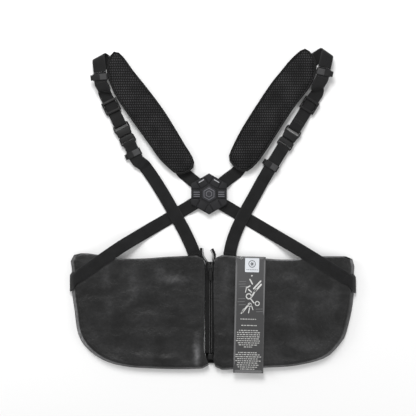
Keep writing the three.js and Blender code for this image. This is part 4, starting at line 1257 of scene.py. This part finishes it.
# %% [markdown]
# The hang tag is a strip of smoky film with a white label. Its print is only thin
# shapes: a plain round mark, an abstract drawing of strokes, and rows of dashes. They
# lie a hair above the film, so the print needs no picture file.

# %% Tag strip and label
TAG_TURN = math.radians(-1.3)
TAG_TOP = Vector((83, -124.5, 0)) * MM
TAG_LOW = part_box("tag_strip")[0][2]
LABEL_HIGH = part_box("tag_label")[1][2]


def on_tag(x, y, level):
    """A point on the tag, in millimetres right of and above the middle of its top edge."""
    turned = Matrix.Rotation(TAG_TURN, 3, "Z") @ (Vector((x, y, 0)) * MM)
    return Vector((TAG_TOP.x + turned.x, TAG_TOP.y + turned.y, level))


def printed(name, shapes, level, look, slot="tag_label", thick=0.06):
    """Closed outlines in tag millimetres, each made a thin raised shape."""
    points, faces = [], []
    for shape in shapes:
        first, count = len(points), len(shape)
        points += [on_tag(x, y, level) for x, y in shape]
        points += [on_tag(x, y, level + thick * MM) for x, y in shape]
        faces.append(tuple(first + count + k for k in range(count)))
        faces.append(tuple(first + count - 1 - k for k in range(count)))
        faces += [(first + k, first + (k + 1) % count, first + count + (k + 1) % count, first + count + k)
                  for k in range(count)]
    piece = mesh_object(name, points, faces, smooth=False)
    turned_out(piece)
    dress(piece, look, slot)
    return piece


def stroke(x, y, length, width, degrees=0.0):
    """A bar with pointed-off ends, as a printed stroke."""
    c, s = math.cos(math.radians(degrees)), math.sin(math.radians(degrees))
    outline = [(-0.5, 0), (-0.44, -0.5), (0.44, -0.5), (0.5, 0), (0.44, 0.5), (-0.44, 0.5)]
    return [(x + u * length * c - v * width * s, y + u * length * s + v * width * c) for u, v in outline]


def ring_shapes(x, y, radius, width, parts=24):
    shapes = []
    for k in range(parts):
        a, b = 2 * math.pi * k / parts, 2 * math.pi * (k + 0.96) / parts
        shapes.append([(x + r * math.cos(t), y + r * math.sin(t))
                       for r, t in ((radius - width, a), (radius, a), (radius, b), (radius - width, b))])
    return shapes


def film_sheet():
    """The film, gently bowed across, with a small curl at its free corners."""
    columns, rows = 20, 66
    length, width = 231.5, 60.0
    points, faces = [], []
    for row in range(rows + 1):
        for column in range(columns + 1):
            u, v = column / columns - 0.5, row / rows
            bow = 0.12 * math.sin(v * 9) * math.cos(u * 5)
            curl = 0.9 * max(0.0, v - 0.9) * 10 * (2 * u) ** 2 * 0.3
            points.append(on_tag(u * width, -v * length, TAG_LOW + (0.2 + max(0.0, bow + curl)) * MM))
    for row in range(rows):
        for column in range(columns):
            a = row * (columns + 1) + column
            faces.append((a, a + columns + 1, a + columns + 2, a + 1))
    piece = mesh_object("tag_film_strip", points, faces)
    skin = piece.modifiers.new("film_thickness", "SOLIDIFY")
    skin.thickness = 0.2 * MM
    skin.offset = 0
    dress(piece, film_look, "tag_film", "tag_strip")
    return piece


strip = film_sheet()
LABEL_HALF, LABEL_CUT = 14, 0.94
cut_corners = [(-1, -LABEL_CUT), (-LABEL_CUT, -1), (LABEL_CUT, -1), (1, -LABEL_CUT),
               (1, LABEL_CUT), (LABEL_CUT, 1), (-LABEL_CUT, 1), (-1, LABEL_CUT)]
label = [(3 + LABEL_HALF * x, -17 + LABEL_HALF * y) for x, y in cut_corners]
white_label = printed("tag_white_label", [label], LABEL_HIGH - 0.3 * MM, label_look, thick=0.3)
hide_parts("tag_label")

# %% Tag print
PRINT_LEVEL = TAG_LOW + 0.42 * MM
mark = ring_shapes(3, -14.5, 7.2, 1.2) + [stroke(3, -14.5, 8.4, 1.3, a) for a in (0, 60, 120)]
mark += [stroke(-7 + 3.4 * k, -26.2, 2.4, 1.1) for k in range(7)]
printed("label_mark", mark, LABEL_HIGH + 0.01 * MM, ink_look)
borders = [stroke(-27.8, -112, 212, 3.0, 90), stroke(27.9, -60, 112, 2.6, 90), stroke(0, -2.6, 54, 4.4),
           stroke(0, -228.4, 57, 5.0)]
printed("tag_borders", borders, PRINT_LEVEL, border_look)
BARS = ((14, -56, 24, 3.0, 48), (16, -62, 22, 3.4, 50), (2, -50, 13, 2.4, -60), (8, -72, 20, 3.0, 62),
        (-3, -60, 9, 2.4, 30), (0, -68, 10, 2.4, -40), (-8, -66, 12, 1.6, 80), (5, -88, 12, 2.2, -50),
        (-8, -103, 24, 3.2, 52), (-14, -109, 12, 2.4, 60), (5, -101, 12, 1.6, -70), (-1, -107, 12, 1.8, 80))
RINGS = ((-2, -79, 6.2, 2.2), (15, -93, 5.0, 1.8), (0, -96, 4.2, 1.5), (3, -38, 1.6, 1.5))
drawing = [stroke(*bar) for bar in BARS] + [shape for ring in RINGS for shape in ring_shapes(*ring)]
printed("tag_drawing", drawing, PRINT_LEVEL, print_look)
WAVES = ((-15, -50), (-16, -55), (-14, -60), (-16, -84), (-17, -90), (-15, -96), (19, -104), (20, -109))
waves = [stroke(x, y, 15, 1.3, 3) for x, y in WAVES]
printed("tag_waves", waves, PRINT_LEVEL, border_look)
BLOCKS = ((-124.5, (34,)), (-137, (30,)), (-147, (38, 46, 46, 46, 46, 50, 42, 38, 18)),
          (-191, (40, 50, 50, 44, 50, 42, 44, 40, 30)))
lines = []
for top, widths in BLOCKS:
    for row, width in enumerate(widths):
        x = -1 - width / 2
        while x < width / 2 - 3:
            length = random.uniform(1.8, 6.0)
            lines.append(stroke(x + length / 2, top - row * 4.1, length, 1.7))
            x += length + random.uniform(0.9, 1.5)
printed("tag_dashes", lines, PRINT_LEVEL, faint_look)
print("tag print:", len(drawing) + len(lines), "shapes")
